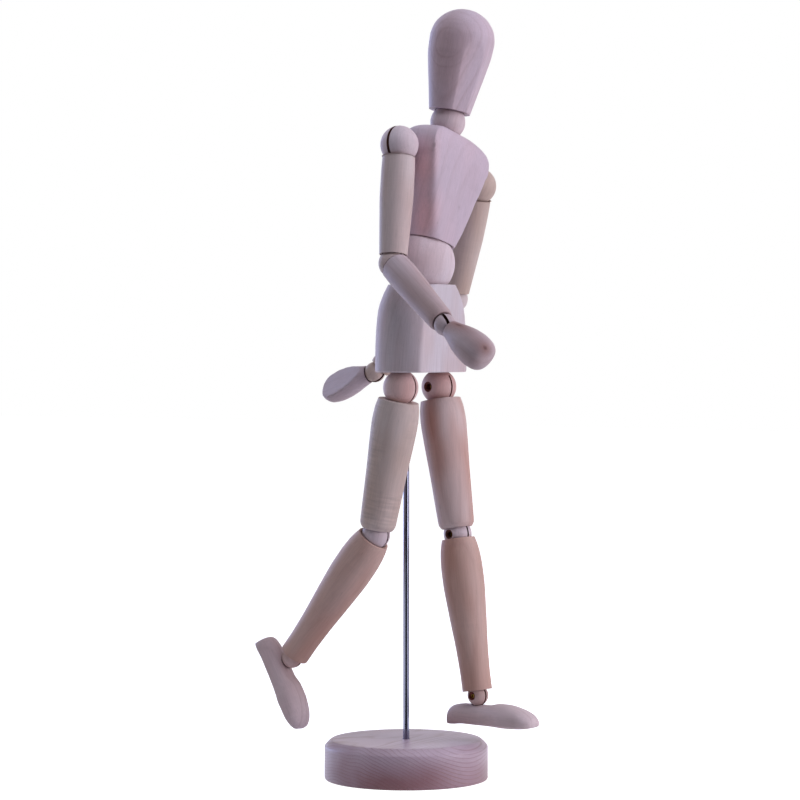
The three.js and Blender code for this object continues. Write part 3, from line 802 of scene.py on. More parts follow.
@dataclass(frozen=True)
class Paper(Finish):
    """White matt paper that glows to the lens, so that only the contact shadow shows on it."""

    colour: str
    glow: float

    def paint(self, tree: bpy.types.NodeTree, shader: bpy.types.Node) -> None:
        """Adds a glow that only the lens and metal see to a plain diffuse sheet.

        Args:
            tree: The material's node tree.
            shader: Its Principled BSDF, which is not needed here.
        """
        tree.nodes.remove(shader)
        paper = add_node(tree, "BsdfDiffuse", {"Color": linear(self.colour)})
        rays = [add_node(tree, "LightPath", out=f"Is {ray} Ray") for ray in ("Camera", "Glossy")]
        seen = add_node(tree, "Math", dict(enumerate(rays)), operation="MAXIMUM")
        level = add_node(tree, "Math", {0: seen, 1: self.glow}, operation="MULTIPLY")
        shine = add_node(tree, "Emission", {"Color": grey(1.0), "Strength": level})
        both = add_node(tree, "AddShader", {0: paper, 1: shine})
        tree.links.new(both, tree.nodes["Material Output"].inputs["Surface"])


# Lime, sanded: the palest and smoothest, nearly without rings. Its lighter, rosier warm tone is
# painted light: warm light bounced from an arm onto the bevel that the arm shades.
CHEST_WOOD = Wood("lime_wood_sanded", "#c6b7c3", "#e2bcc1", "#6a3c30",
                  ring_mm=4.2, ring_depth=0.12, patch_depth=0.2)
# Lime, planed: the same wood a shade greyer, with faint upright grain.
PELVIS_WOOD = Wood("lime_wood_planed", "#cec5cb", "#c8b3b3", "#6a3c30",
                   ring_mm=4.2, ring_depth=0.1)
# Lime with a knot in it: rings show as faint ovals on the side of the head.
HEAD_WOOD = Wood("lime_wood_head", "#cebfcb", "#c7adb2", "#6a3c30",
                 ring_mm=3.0, ring_depth=0.26, ring_floor=0.35, patch_depth=0.4)
# Lime, turned: light balls that stand out against the limbs.
BALL_WOOD = Wood("lime_wood_turned", "#dacdd3", "#d0b9bb", "#5a3328", ring_depth=0.12)
# Beech, turned: a rosy limb with warm patches.
ROSY_WOOD = Wood("beech_wood_turned", "#d3beba", "#bd9184", "#6a3428", ring_depth=0.16)
# Light beech: the rosy balls of the hips, which catch the light. This lighter copy of the turned
# beech is painted light.
HIP_WOOD = Wood("beech_wood_light", "#dfc5c2", "#d2a9a2", "#6a3428", ring_depth=0.16)
# Pale birch: an even limb with hardly a mark.
PALE_WOOD = Wood("birch_wood_pale", "#d2c4c2", "#c6b0aa", "#5a3328", ring_depth=0.14)
# Birch, turned: the tan arm in the shade of the chest. This darker, warmer copy of the birch is
# painted shade.
TAN_WOOD = Wood("birch_wood_turned", "#c9b7ae", "#bca191", "#5a3328", ring_depth=0.16)
# Curly birch: short waves across the grain of one thigh.
CURLY_WOOD = Wood("birch_wood_curly", "#cdbdb7", "#bea699", "#5a3328",
                  ring_depth=0.1, curl_depth=0.12)
# Alder, turned: the warmest, light brown shins.
SHIN_WOOD = Wood("alder_wood_turned", "#c9aa9f", "#b98e7e", "#6a3428", ring_depth=0.2)
# Maple, carved: greyish pink feet.
FOOT_WOOD = Wood("maple_wood_carved", "#d8c6c8", "#caafad", "#4c2a22", ring_depth=0.2)
# Maple, turned: the greyest, for a forearm and the hands.
GREY_WOOD = Wood("maple_wood_turned", "#c4b4b9", "#b49c9b", "#4c2a22", ring_depth=0.18)
# Beech from a board, faced and rubbed smooth: close dark rings, a slight sheen, red below.
STAND_WOOD = Wood("beech_wood_faced", "#c4b1be", "#8c656b", "#5a3328", line="#7c4a46",
                  ring_mm=1.25, ring_depth=0.5, ring_floor=0.35, patch_depth=0.35, roughness=0.42)
# Bright drawn steel: a dark mirror with keen light edges.
STEEL = Metal("bright_drawn_steel", "#84869a", 0.14)
# Dull strip steel: a brownish grey sliver deep in a slot.
LINK_STEEL = Metal("dull_strip_steel", "#7c7470", 0.45)
# Drawn brass: a small warm glint in a pin's hole.
BRASS = Metal("drawn_brass", "#b8944c", 0.3)
CARD_FELT = Felt("black_felt_card", "#1c1c20")
FLOOR_PAPER = Paper("white_paper_floor", "#f2f2f2", 0.95)


class Workshop:
    """Makes objects from skins, seats them, carves them and ties them to the frame."""

    made: int = 0

    @classmethod
    def piece(
        cls,
        node: str,
        skins: list[Skin],
        seat: Seat,
        finish: Finish,
        cut: Cut = Cut(),
        cups: tuple[Cup, ...] = (),
        slot: str = "limb_wood",
    ) -> None:
        """Makes the finer piece that stands for one node of the frame.

        Args:
            node: Name of the node that it replaces.
            skins: Closed grids in the piece's own axes, in millimetres.
            seat: Where those axes lie.
            finish: The material's description.
            cut: How the wood lay in the tree.
            cups: Centres and radii of ball cups to carve, in the piece's own axes.
            slot: Material slot of the record; not used.
        """
        item = bpy.data.objects.new(f"{node}_fine", cls.mesh_of(f"{node}_skin", skins, seat))
        bpy.context.scene.collection.objects.link(item)
        for centre, radius in cups:
            cls.carve(item, seat.then(centre), radius)
        cls.dress(item, seat, finish, cut, cups)
        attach(item, cls.body_of(node))
        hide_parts(node)
        cls.made += 1
        LOG.info("%s: %d faces", item.name, len(item.data.polygons))

    @staticmethod
    def body_of(node: str) -> str:
        """Name of the body that carries a node."""
        bodies = frame["record"]["behaviour"]["bodies"]
        return next(name for name, nodes in bodies.items() if node in nodes)

    @staticmethod
    def mesh_of(name: str, skins: list[Skin], seat: Seat) -> bpy.types.Mesh:
        """Joins skins into one closed mesh in the frame, in metres.

        Poles and seams are merged and all faces turned outward.

        Args:
            name: The mesh's name.
            skins: Closed grids in the seat's axes, in millimetres.
            seat: Where those axes lie.

        Returns:
            The mesh, with its painted shade as a point attribute.
        """
        points = np.concatenate([s.points.reshape(-1, 3) for s in skins])
        stain = np.concatenate([s.stain.reshape(-1) for s in skins])
        starts = np.cumsum([0] + [s.stain.size for s in skins])
        faces = np.concatenate([s.faces(start) for s, start in zip(skins, starts)])
        mesh = bpy.data.meshes.new(name)
        mesh.from_pydata((seat.place(points) * MM).tolist(), [], faces.tolist())
        mesh.attributes.new("stain", "FLOAT", "POINT").data.foreach_set("value", stain)
        shell = bmesh.new()
        shell.from_mesh(mesh)
        bmesh.ops.remove_doubles(shell, verts=shell.verts[:], dist=2e-7)
        bmesh.ops.recalc_face_normals(shell, faces=shell.faces[:])
        shell.to_mesh(mesh)
        shell.free()
        return mesh

    @classmethod
    def carve(cls, item: bpy.types.Object, seat: Seat, radius: float) -> None:
        """Cuts a ball-shaped cup.

        Args:
            item: The object to cut.
            seat: The cup's centre.
            radius: The cup's radius in millimetres.
        """
        angle = np.linspace(0, math.pi, 41)
        arc = np.stack([radius * np.sin(angle), -radius * np.cos(angle)], axis=1)
        upright = Seat(np.eye(3), seat.origin)
        mesh = cls.mesh_of("cup_cutter", [Skin.turned(arc, around=80)], upright)
        cutter = bpy.data.objects.new("cup_cutter", mesh)
        bpy.context.scene.collection.objects.link(cutter)
        cutting = item.modifiers.new("cup", "BOOLEAN")
        cutting.operation = "DIFFERENCE"
        cutting.solver = "EXACT"
        cutting.object = cutter
        graph = bpy.context.evaluated_depsgraph_get()
        carved = bpy.data.meshes.new_from_object(item.evaluated_get(graph))
        whole = item.data
        item.modifiers.clear()
        item.data = carved
        bpy.data.meshes.remove(whole)
        bpy.data.objects.remove(cutter, do_unlink=True)
        bpy.data.meshes.remove(mesh)

    @staticmethod
    def dress(
        item: bpy.types.Object, seat: Seat, finish: Finish, cut: Cut, cups: tuple[Cup, ...]
    ) -> None:
        """Gives the object its wood coordinates, smooth shading and material.

        Args:
            item: The object.
            seat: Where its own axes lie.
            finish: The material's description.
            cut: How the wood lay in the tree.
            cups: Carved cups, which are left a little darker as painted shade.
        """
        mesh = item.data
        count = len(mesh.vertices)
        flat = np.empty(3 * count, dtype=np.float32)
        mesh.vertices.foreach_get("co", flat)
        local = seat.unplace(flat.reshape(-1, 3).astype(float) / MM)
        stain = np.zeros(count, dtype=np.float32)
        if "stain" in mesh.attributes:
            mesh.attributes["stain"].data.foreach_get("value", stain)
        # Painted shade: points in a carved cup are darkened.
        for centre, radius in cups:
            inside = np.linalg.norm(local - np.array(centre), axis=1) < radius + HAIR
            stain[inside] = CUP_PAINTED_SHADE
        layers = {"stain": stain, "knot": cut.knot_field(local), "blush": cut.blush_field(local)}
        for name, values in layers.items():
            if name not in mesh.attributes:
                mesh.attributes.new(name, "FLOAT", "POINT")
            mesh.attributes[name].data.foreach_set("value", values.astype(np.float32))
        wood = cut.coordinates(local).astype(np.float32)
        mesh.attributes.new("grain", "FLOAT_VECTOR", "POINT").data.foreach_set(
            "vector", wood.ravel())
        mesh.polygons.foreach_set("use_smooth", np.ones(len(mesh.polygons), dtype=bool))
        mesh.set_sharp_from_angle(angle=math.radians(CREASE))
        mesh.materials.clear()
        mesh.materials.append(finish.material())


def add_ball(name: str, joint: Joint, seat: Seat, hole_side: int, finish: Wood, cut: Cut) -> None:
    """Adds a joint's ball and pin, and dresses its link.

    Args:
        name: The joint's name.
        joint: Its sizes.
        seat: The ball's axes: the pin along X, the next piece along -Z.
        hole_side: The sign of X on which the pin's hole opens.
        finish: The ball's wood.
        cut: How the ball's wood lay in the tree.
    """
    ball = [joint.ball_skin(hole_side), joint.peg_skin()]
    Workshop.piece(f"{name}_ball", ball, seat, finish, cut)
    Workshop.piece(f"{name}_pin", [joint.pin_skin(hole_side)], seat, BRASS, slot="brass")
    frame["nodes"][f"{name}_link"].material_slots[0].material = LINK_STEEL.material()


@dataclass(frozen=True)
class Limb:
    """A turned limb between two balls.

    The collar is the radius just below the upper rim. The contour gives the swell as shares of the
    length and radii.
    """

    upper: Joint
    lower: Joint
    length: float
    collar: float
    contour: tuple[tuple[float, float], ...]

    def skin(self) -> Skin:
        """Turns the limb: cup and link bore, smooth swell, cup and peg bore.

        Returns:
            The skin about the upper ball's centre, hanging along -Z.
        """
        rim_z = -self.upper.after
        top = self.upper.socket(0.0, -1)
        rim = [[self.upper.rim(self.upper.after), rim_z], [self.collar - 0.12, rim_z - 0.02]]
        swell = smooth_curve(np.array([
            [self.collar, rim_z - 0.14],
            *[[radius, -part * self.length] for part, radius in self.contour],
            [self.lower.rim(self.lower.before), -self.length + self.lower.before],
        ]), count=72)
        peg, roof = self.lower.peg + CLEARANCE, -self.length + self.lower.peg_end + CLEARANCE
        cup = cup_rows(self.lower.cup, peg, self.lower.before, -self.length, 1)[::-1]
        bottom = np.concatenate([cup, [[peg, roof], [0, roof]]])
        # Painted shade in both cups and their bores; none on the outside.
        stain = painted_shade_rows((len(top), CUP_PAINTED_SHADE), (len(rim) + len(swell), 0.0),
                           (len(bottom), CUP_PAINTED_SHADE))
        return Skin.turned(np.concatenate([top, rim, swell, bottom]), stain)


@dataclass(frozen=True)
class Stand:
    """The round stand and its steel rod."""

    diameter: float = 65.0
    thickness: float = 15.8
    top_round: float = 2.7
    # Two gives a round edge and one a plain chamfer.
    bevel: float = 1.7
    foot_round: float = 0.8
    rod_diameter: float = 2.5
    rod_chamfer: float = 0.2
    rod_in_base: float = 11.0
    rod_in_pelvis: float = 15.0
    # A red patch low on the side, and a warmer foot all round.
    cut: Cut = Cut((52.0, 14.0), 3.0, 328.0, Fibre.SIDEWAYS, blushes=(
        ((-26.0, -19.0, 0.0), (28.0, 28.0, 16.0), 0.55),
        ((0.0, 0.0, 3.0), (90.0, 90.0, 13.0), 0.6)))

    def disc_skin(self) -> Skin:
        """Turns the disc: a rounded foot, a straight side, a soft bevel and the rod's blind hole.

        The bevel is a quarter of the curve [cos a, sin a], with both raised to the bevel's power.

        Returns:
            The skin about the middle of the underside.
        """
        r, top = self.diameter / 2, self.thickness
        bore = self.rod_diameter / 2 + CLEARANCE
        floor = top - self.rod_in_base - CLEARANCE
        low = np.radians(np.linspace(-90, 0, 7))[:, None]
        high = np.radians(np.linspace(0, 90, 13))[:, None]
        foot = np.hstack([r - self.foot_round * (1 - np.cos(low)),
                          self.foot_round * (1 + np.sin(low))])
        rise = np.linspace(self.foot_round, top - self.top_round, 9)[1:-1]
        edge = np.hstack([r - self.top_round * (1 - np.cos(high) ** self.bevel),
                          top - self.top_round * (1 - np.sin(high) ** self.bevel)])
        inward = np.linspace(r - self.top_round, bore, 12)[1:]
        profile = np.concatenate([
            [[0, 0]], foot, np.stack([np.full_like(rise, r), rise], axis=1), edge,
            np.stack([inward, np.full_like(inward, top)], axis=1), [[bore, floor], [0, floor]],
        ])
        return Skin.turned(profile, around=160)

    def rod_skin(self) -> Skin:
        """Turns the rod: a cylinder with a small chamfer at both ends.

        Returns:
            The skin about the middle of the stand's underside.
        """
        r, tip = self.rod_diameter / 2, self.rod_chamfer
        start = self.thickness - self.rod_in_base
        end = HIP_HEIGHT + HIP.before + self.rod_in_pelvis
        profile = np.array([[0, start], [r - tip, start], [r, start + tip],
                            [r, end - tip], [r - tip, end], [0, end]])
        return Skin.turned(profile, around=48)

    def build(self) -> None:
        """Makes the disc and the rod."""
        ground = Seat(np.eye(3), np.zeros(3))
        Workshop.piece("base_disc", [self.disc_skin()], ground, STAND_WOOD, self.cut,
                       slot="stand_wood")
        Workshop.piece("stand_rod", [self.rod_skin()], ground, STEEL, slot="steel")


@dataclass(frozen=True)
class Pelvis:
    """The oval hip block with its flat front."""

    width: float = 42.2
    top_width: float = 27.6
    back: float = 16.0
    top_back: float = 12.0
    flat: float = 11.3
    top_flat: float = 12.5
    belly: float = 18.1
    top_belly: float = 14.1
    waist_rise: float = 49.0
    hip_spacing: float = 27.0
    cut: Cut = Cut((-30.0, -14.0), 3.0, 40.0)

    def skin(self) -> Skin:
        """Lofts ovals whose radius is the least of an ellipse and the flat front's plane.

        Returns:
            The skin about the middle of the hip line, with the waist cup on top.
        """
        # Share of the height, then how far width and depth have grown from the top's to the full.
        levels = np.array([
            [0, 0.91, 0.94], [0.025, 1, 1], [0.2, 0.98, 0.99], [0.45, 0.89, 0.96],
            [0.7, 0.69, 0.84], [0.88, 0.35, 0.43], [1, 0, 0],
        ])
        part, spread, full = np.hsplit(smooth_curve(levels, count=64), 3)
        bottom, top = HIP.before, self.waist_rise - WAIST.before
        half = self.top_width / 2 + spread * (self.width - self.top_width) / 2
        back = self.top_back + full * (self.back - self.top_back)
        belly = self.top_belly + full * (self.belly - self.top_belly)
        around = 2 * AROUND
        angle = circle(around)
        c, s = np.cos(angle), np.sin(angle)
        oval = 1 / np.sqrt((c / half) ** 2 + (s / np.where(s > 0, back, belly)) ** 2)
        front = facet_radius(self.flat + part * (self.top_flat - self.flat), -s)
        wall = rings(soft_least(oval, front), bottom + part * (top - bottom), angle)
        floor = np.concatenate([lathe(np.array([[0, bottom]]), around),
                                wall[:1] * np.array([0.5, 0.5, 1.0])])
        cup = cup_rows(WAIST.cup, 0.2, WAIST.before, self.waist_rise, -1)[::-1]
        dish = lathe(np.concatenate([cup, [[0, cup[-1, 1]]]]), around)
        # Painted shade in the waist cup; none on the outside.
        stain = painted_shade_rows((len(floor) + len(wall), 0.0), (len(dish), CUP_PAINTED_SHADE))
        return Skin.of_rows(np.concatenate([floor, wall, dish]), stain)

    def build(self, seat: Seat) -> None:
        """Makes the hip block and carves both hip cups."""
        cups = tuple(((s.value * self.hip_spacing / 2, 0.0, 0.0), HIP.cup) for s in Side)
        Workshop.piece("pelvis", [self.skin()], seat, PELVIS_WOOD, self.cut, cups, "torso_wood")


@dataclass(frozen=True)
class Chest:
    """The tapered chest block: flat front, bevelled sides, round back, domed shoulders."""

    width: float = 38.8
    waist_width: float = 25.0
    flat: float = 11.7
    back: float = 11.8
    back_power: float = 2.7
    # Where the bevels end on the sides, as a share of the front's depth.
    side_line: float = 0.2
    crown: float = 54.4
    neck_rise: float = 58.6
    shoulder_rise: float = 40.4
    shoulder_spacing: float = 52.4
    # Two small knots in front. The rosy tone down the right bevel is painted light: warm light
    # bounced from the right arm into its shade.
    cut: Cut = Cut(
        (8.0, -34.0), 4.0, 90.0,
        knots=((-18.2, -10.6, 42.8, 3.4), (3.0, -11.7, 24.0, 1.6)),
        blushes=(((-18.0, -7.0, 32.0), (7.0, 11.0, 22.0), 1.0),
                 ((-11.0, -7.0, 16.0), (6.5, 9.0, 20.0), 1.0)))

    def skin(self) -> Skin:
        """Lofts sections whose radius is the least of the front's plane, the bevels and an oval.

        The oval is a superellipse behind, and reaches far out in front, where the planes cut it.

        Returns:
            The skin about the waist ball's centre, with the waist cup below.
        """
        # Share of the height, growth of the width, depth, and where the front's flat ends.
        levels = np.array([
            [0, 0, 0.98, 0.58], [0.17, 0.11, 1, 0.84], [0.38, 0.4, 1, 0.97],
            [0.58, 0.75, 0.99, 0.98], [0.74, 0.98, 0.96, 0.95], [0.82, 1, 0.92, 0.93],
            [0.89, 0.87, 0.84, 0.9], [0.945, 0.5, 0.7, 0.85], [0.985, -0.1, 0.52, 0.81],
            [1, -0.5, 0.36, 0.8],
        ])
        part, spread, deep, share = np.hsplit(smooth_curve(levels, count=110), 4)
        half = self.waist_width / 2 + spread * (self.width - self.waist_width) / 2
        front, edge = deep * self.flat, share * half
        around = 2 * AROUND
        angle = circle(around)
        c, s = np.cos(angle), np.sin(angle)
        run_x, run_y = half - edge, (1 - self.side_line) * front
        long = np.hypot(run_x, run_y)
        bevel = facet_radius((edge * run_y + front * run_x) / long,
                             (np.abs(c) * run_y - s * run_x) / long)
        power = self.back_power
        depth = np.where(s > 0, deep * self.back, 3 * self.back)
        oval = (np.abs(c / half) ** power + np.abs(s / depth) ** power) ** (-1 / power)
        # Edges are soft at the waist and the neck, and keen at the shoulders.
        crisp = np.interp(part, [0, 0.45, 0.68, 0.86, 0.95, 1], [7, 9, 16, 70, 20, 8])
        radius = soft_least(facet_radius(front, -s), bevel, oval, sharpness=crisp)
        wall = rings(radius, WAIST.after + part * (self.crown - WAIST.after), angle)
        cup = cup_rows(WAIST.cup, 0.2, WAIST.after, 0, 1)
        dish = lathe(np.concatenate([[[0, cup[0, 1]]], cup]), around)
        top = np.concatenate([wall[-1:] * np.array([0.5, 0.5, 1.0]),
                              lathe(np.array([[0, self.crown]]), around)])
        # Painted shade in the waist cup; none on the outside.
        stain = painted_shade_rows((len(dish), CUP_PAINTED_SHADE), (len(wall) + len(top), 0.0))
        return Skin.of_rows(np.concatenate([dish, wall, top]), stain)

    def shoulder(self, side: Side) -> Triple:
        """Centre of a shoulder's ball, in the chest's axes."""
        return (side.value * self.shoulder_spacing / 2, 0.0, self.shoulder_rise)

    def build(self, seat: Seat) -> None:
        """Makes the chest and carves the neck's and the shoulders' cups."""
        cups = (((0.0, 0.0, self.neck_rise), NECK.cup),
                *((self.shoulder(side), SHOULDER.cup) for side in Side))
        Workshop.piece("chest", [self.skin()], seat, CHEST_WOOD, self.cut, cups, "torso_wood")


@dataclass(frozen=True)
class Head:
    """The turned head with two flats that meet in a ridge for a face; angles are in degrees."""

    height: float = 45.8
    radius: float = 13.0
    jaw_radius: float = 8.4
    # Height of the dome in radii.
    dome: float = 0.95
    ridge: float = 8.6
    slope: float = 11.5
    turn: float = 25.0
    yaw: float = -6.0
    # A wide knot and warm wood on the right side.
    cut: Cut = Cut((32.4, 3.7), 1.0, 150.0, knots=((-9.2, -1.4, 29.0, 10.0),),
                   blushes=(((-11.0, 0.0, 24.0), (10.0, 16.0, 36.0), 1.0),))

    def skin(self, skew: float) -> Skin:
        """Turns the egg and cuts both flats: the radius is the least of the egg's and the planes'.

        Args:
            skew: Degrees by which the head sits askew on its link.

        Returns:
            The skin about the neck ball's centre, rising along +Z.
        """
        jaw = NECK.after
        brow = self.height - self.dome * self.radius
        rise = np.array([[0, 0], [0.3, 0.36], [0.6, 0.74], [0.82, 0.96], [1, 1]])
        cheek = np.stack([self.jaw_radius + rise[:, 1] * (self.radius - self.jaw_radius),
                          jaw + rise[:, 0] * (brow - jaw)], axis=1)
        over = np.radians(np.array([20, 40, 58, 75, 90]))
        skull = np.stack([self.radius * np.cos(over),
                          brow + self.dome * self.radius * np.sin(over)], axis=1)
        egg, height = np.hsplit(smooth_curve(np.concatenate([cheek, skull]), count=130), 2)
        angle = circle(2 * AROUND)
        facing = angle - math.radians(self.yaw)
        slope = math.radians(self.slope)
        ridge = Vector((0, -math.sin(slope), math.cos(slope)))
        flats = []
        for side in Side:
            normal = Vector((0, -math.cos(slope), -math.sin(slope)))
            normal.rotate(Matrix.Rotation(side.value * math.radians(self.turn), 3, ridge))
            distance = -normal.y * self.ridge + normal.z * (jaw - height)
            flats.append(facet_radius(
                distance, normal.x * np.cos(facing) + normal.y * np.sin(facing)))
        wall = rings(soft_least(egg + 1e-6, *flats, sharpness=260), height, angle)
        dish = lathe(NECK.socket(skew, 1), 2 * AROUND)
        # Painted shade in the neck's cup and bore; none on the outside.
        stain = painted_shade_rows((len(dish), CUP_PAINTED_SHADE), (len(wall), 0.0))
        return Skin.of_rows(np.concatenate([dish, wall]), stain)

    def build(self, seat: Seat, skew: float) -> None:
        """Makes the head."""
        Workshop.piece("head", [self.skin(skew)], seat, HEAD_WOOD, self.cut, slot="torso_wood")


@dataclass(frozen=True)
class Hand:
    """A turned egg with one sloping flat for the palm."""

    length: float = 25.6
    radius: float = 6.8
    palm_depth: float = 3.6
    palm_slope: float = 9.5
    # Where the palm's depth is measured, as a share of the length.
    palm_from: float = 0.3

    def skin(self, skew: float) -> Skin:
        """Lofts sections of the egg that end at the palm's plane.

        A section's centre lies midway between the plane and the far side; from there its radius is
        the least of the circle's and the plane's.

        Args:
            skew: Degrees by which the hand sits askew on its link.

        Returns:
            The skin about the wrist ball's centre, pointing along -Z with the palm facing +Y.
        """
        shares = np.array([
            [0.67, 0.26], [0.83, 0.4], [0.95, 0.55], [1, 0.7], [0.95, 0.84],
            [0.78, 0.93], [0.42, 0.985], [0, 1],
        ])
        swell = np.concatenate([[[WRIST.rim(WRIST.after), WRIST.after]],
                                shares * np.array([self.radius, self.length])])
        r, down = np.hsplit(smooth_curve(swell, count=90), 2)
        tilt = math.tan(math.radians(self.palm_slope))
        plane = self.palm_depth + (self.palm_from * self.length - down) * tilt
        kept = (r + plane)[:, 0] > HAIR
        r, down, plane = r[kept], down[kept], plane[kept]
        centre = (np.minimum(r, plane) - r) / 2
        angle = circle(AROUND)
        c, s = np.cos(angle), np.sin(angle)
        round_part = -centre * s + np.sqrt(np.maximum(r ** 2 - (centre * c) ** 2, 1e-9))
        flat_part = facet_radius(np.maximum(plane - centre, 1e-4), s)
        wall = rings(soft_least(round_part + 1e-6, flat_part, sharpness=50), -down, angle)
        wall[..., 1] += centre
        dish = lathe(WRIST.socket(skew, -1), AROUND)
        # Painted shade in the wrist's cup and bore; none on the outside.
        stain = painted_shade_rows((len(dish), CUP_PAINTED_SHADE), (len(wall) + 1, 0.0))
        return Skin.of_rows(np.concatenate([dish, wall, pinch(wall[-1:])]), stain)


@dataclass(frozen=True)
class Foot:
    """A carved shoe shape with a flat sole."""

    heel: float = 12.4
    toe: float = 26.8
    sole: float = 12.0
    width: float = 12.6
    # Height of the widest line, and how square the section is above it and below it.
    girth: float = 0.34
    powers: tuple[float, float] = (2.3, 4.5)

    def skin(self) -> Skin:
        """Lofts rounded sections from heel to toe.

        A section is a superellipse about a line a third of the way up: rounder above that line and
        squarer below it, where the sole is flat.

        Returns:
            The skin about the ankle ball's centre, the toe along -Y.
        """
        heel, toe = self.heel, self.toe
        # Place along the foot, share of the width, drop of the top and lift of the sole.
        stations = np.array([
            [heel + 0.2, 0.5, 0.36, 0.07],
            [heel, 0.62, 0.26, 0.03],
            [0.84 * heel, 0.74, 0.1, 0.03],
            [0.45 * heel, 0.8, 0.02, 0.08],
            [0, 0.8, 0.02, 0.06],
            [-0.2 * toe, 0.84, 0.03, 0.05],
            [-0.38 * toe, 0.92, -0.06, 0.03],
            [-0.54 * toe, 1, -0.04, 0],
            [-0.74 * toe, 1, 0.1, 0.01],
            [-0.89 * toe, 0.84, 0.29, 0.04],
            [-0.98 * toe, 0.52, 0.52, 0.12],
            [-toe, 0.12, 0.68, 0.24],
        ])
        along, wide, drop, lift = np.hsplit(smooth_curve(stations, count=96), 4)
        instep = -ANKLE.after
        tall = instep + self.sole
        top, low = instep - drop * tall, -self.sole + lift * tall
        middle = low + self.girth * (top - low)
        angle = circle(64)
        c, s = np.cos(angle), np.sin(angle)
        up = np.where(s > 0, top - middle, middle - low)
        power = np.where(s > 0, *self.powers)
        reach = (np.abs(c) ** power + np.abs(s) ** power) ** (-1 / power)
        grids = np.broadcast_arrays(self.width / 2 * wide * reach * c, along,
                                    middle + up * reach * s)
        wall = np.stack(grids, axis=-1)
        return Skin.of_rows(np.concatenate([pinch(wall[:1]), wall, pinch(wall[-1:])]))


@dataclass(frozen=True)
class Bend:
    """One ball's pose in degrees: its turn, the next piece's bend, and how askew that sits."""

    turn: float
    bend: float
    skew: float = 0.0
    twist: float = 0.0


UPPER_ARM = Limb(SHOULDER, ELBOW, 47.4, 6.35, (
    (0.17, 6.5), (0.28, 6.6), (0.43, 6.6), (0.61, 6.24), (0.78, 5.86)))
FOREARM = Limb(ELBOW, WRIST, 44.3, 5.75, (
    (0.12, 5.87), (0.22, 6.0), (0.33, 5.91), (0.5, 5.63), (0.72, 5.17), (0.9, 4.9)))
THIGH = Limb(HIP, KNEE, 59.2, 8.05, (
    (0.16, 8.84), (0.25, 9.1), (0.36, 8.86), (0.58, 8.08), (0.84, 7.4), (0.926, 7.1), (0.949, 6.5)))
SHIN = Limb(KNEE, ANKLE, 64.4, 6.6, (
    (0.07, 7.26), (0.13, 7.9), (0.22, 8.25), (0.3, 8.25), (0.5, 7.43), (0.72, 6.32),
    (0.88, 5.9), (0.969, 5.9)))


@dataclass(frozen=True)
class Arm:
    """Shoulder, elbow and wrist of one side with the pieces that they carry.

    The shift is where in the tree this arm's wood comes from, so that no two pieces match.
    """

    side: Side
    shoulder: Bend
    elbow: Bend
    wrist: Bend
    upper_wood: Wood
    fore_wood: Wood
    shoulder_wood: Wood
    hand_pith: tuple[float, float]
    hand: Hand
    shift: float

    def build(self, chest: Seat, sizes: Chest) -> None:
        """Hangs the arm from the chest.

        Args:
            chest: The chest's axes.
            sizes: The chest's sizes.
        """
        word, sign, shift = self.side.word, self.side.value, self.shift
        ball = chest.then(sizes.shoulder(self.side), rotation("X", self.shoulder.turn),
                          rotation("Z", -90 * sign))
        add_ball(f"{word}_shoulder", SHOULDER, ball, -sign, self.shoulder_wood,
                 Cut((18, 14), 4, shift))
        upper = ball.then(HERE, rotation("X", self.shoulder.bend))
        Workshop.piece(f"{word}_upper_arm", [UPPER_ARM.skin()], upper, self.upper_wood,
                       Cut((26, -15), 1.5, shift + 60))
        ball = upper.then((0, 0, -UPPER_ARM.length), rotation("Z", self.elbow.turn))
        add_ball(f"{word}_elbow", ELBOW, ball, sign, PALE_WOOD, Cut((12, 20), 3, shift + 120))
        fore = ball.then(HERE, rotation("X", self.elbow.bend))
        Workshop.piece(f"{word}_forearm", [FOREARM.skin()], fore, self.fore_wood,
                       Cut((-22, 18), 2, shift + 180))
        ball = fore.then((0, 0, -FOREARM.length), rotation("Z", self.wrist.turn))
        add_ball(f"{word}_wrist", WRIST, ball, sign, self.fore_wood, Cut((15, 9), 3, shift + 240))
        palm = ball.then(HERE, rotation("X", self.wrist.bend), rotation("Y", self.wrist.skew),
                         rotation("Z", self.wrist.twist))
        Workshop.piece(f"{word}_hand", [self.hand.skin(self.wrist.skew)], palm, GREY_WOOD,
                       Cut(self.hand_pith, 1.0, shift + 300))


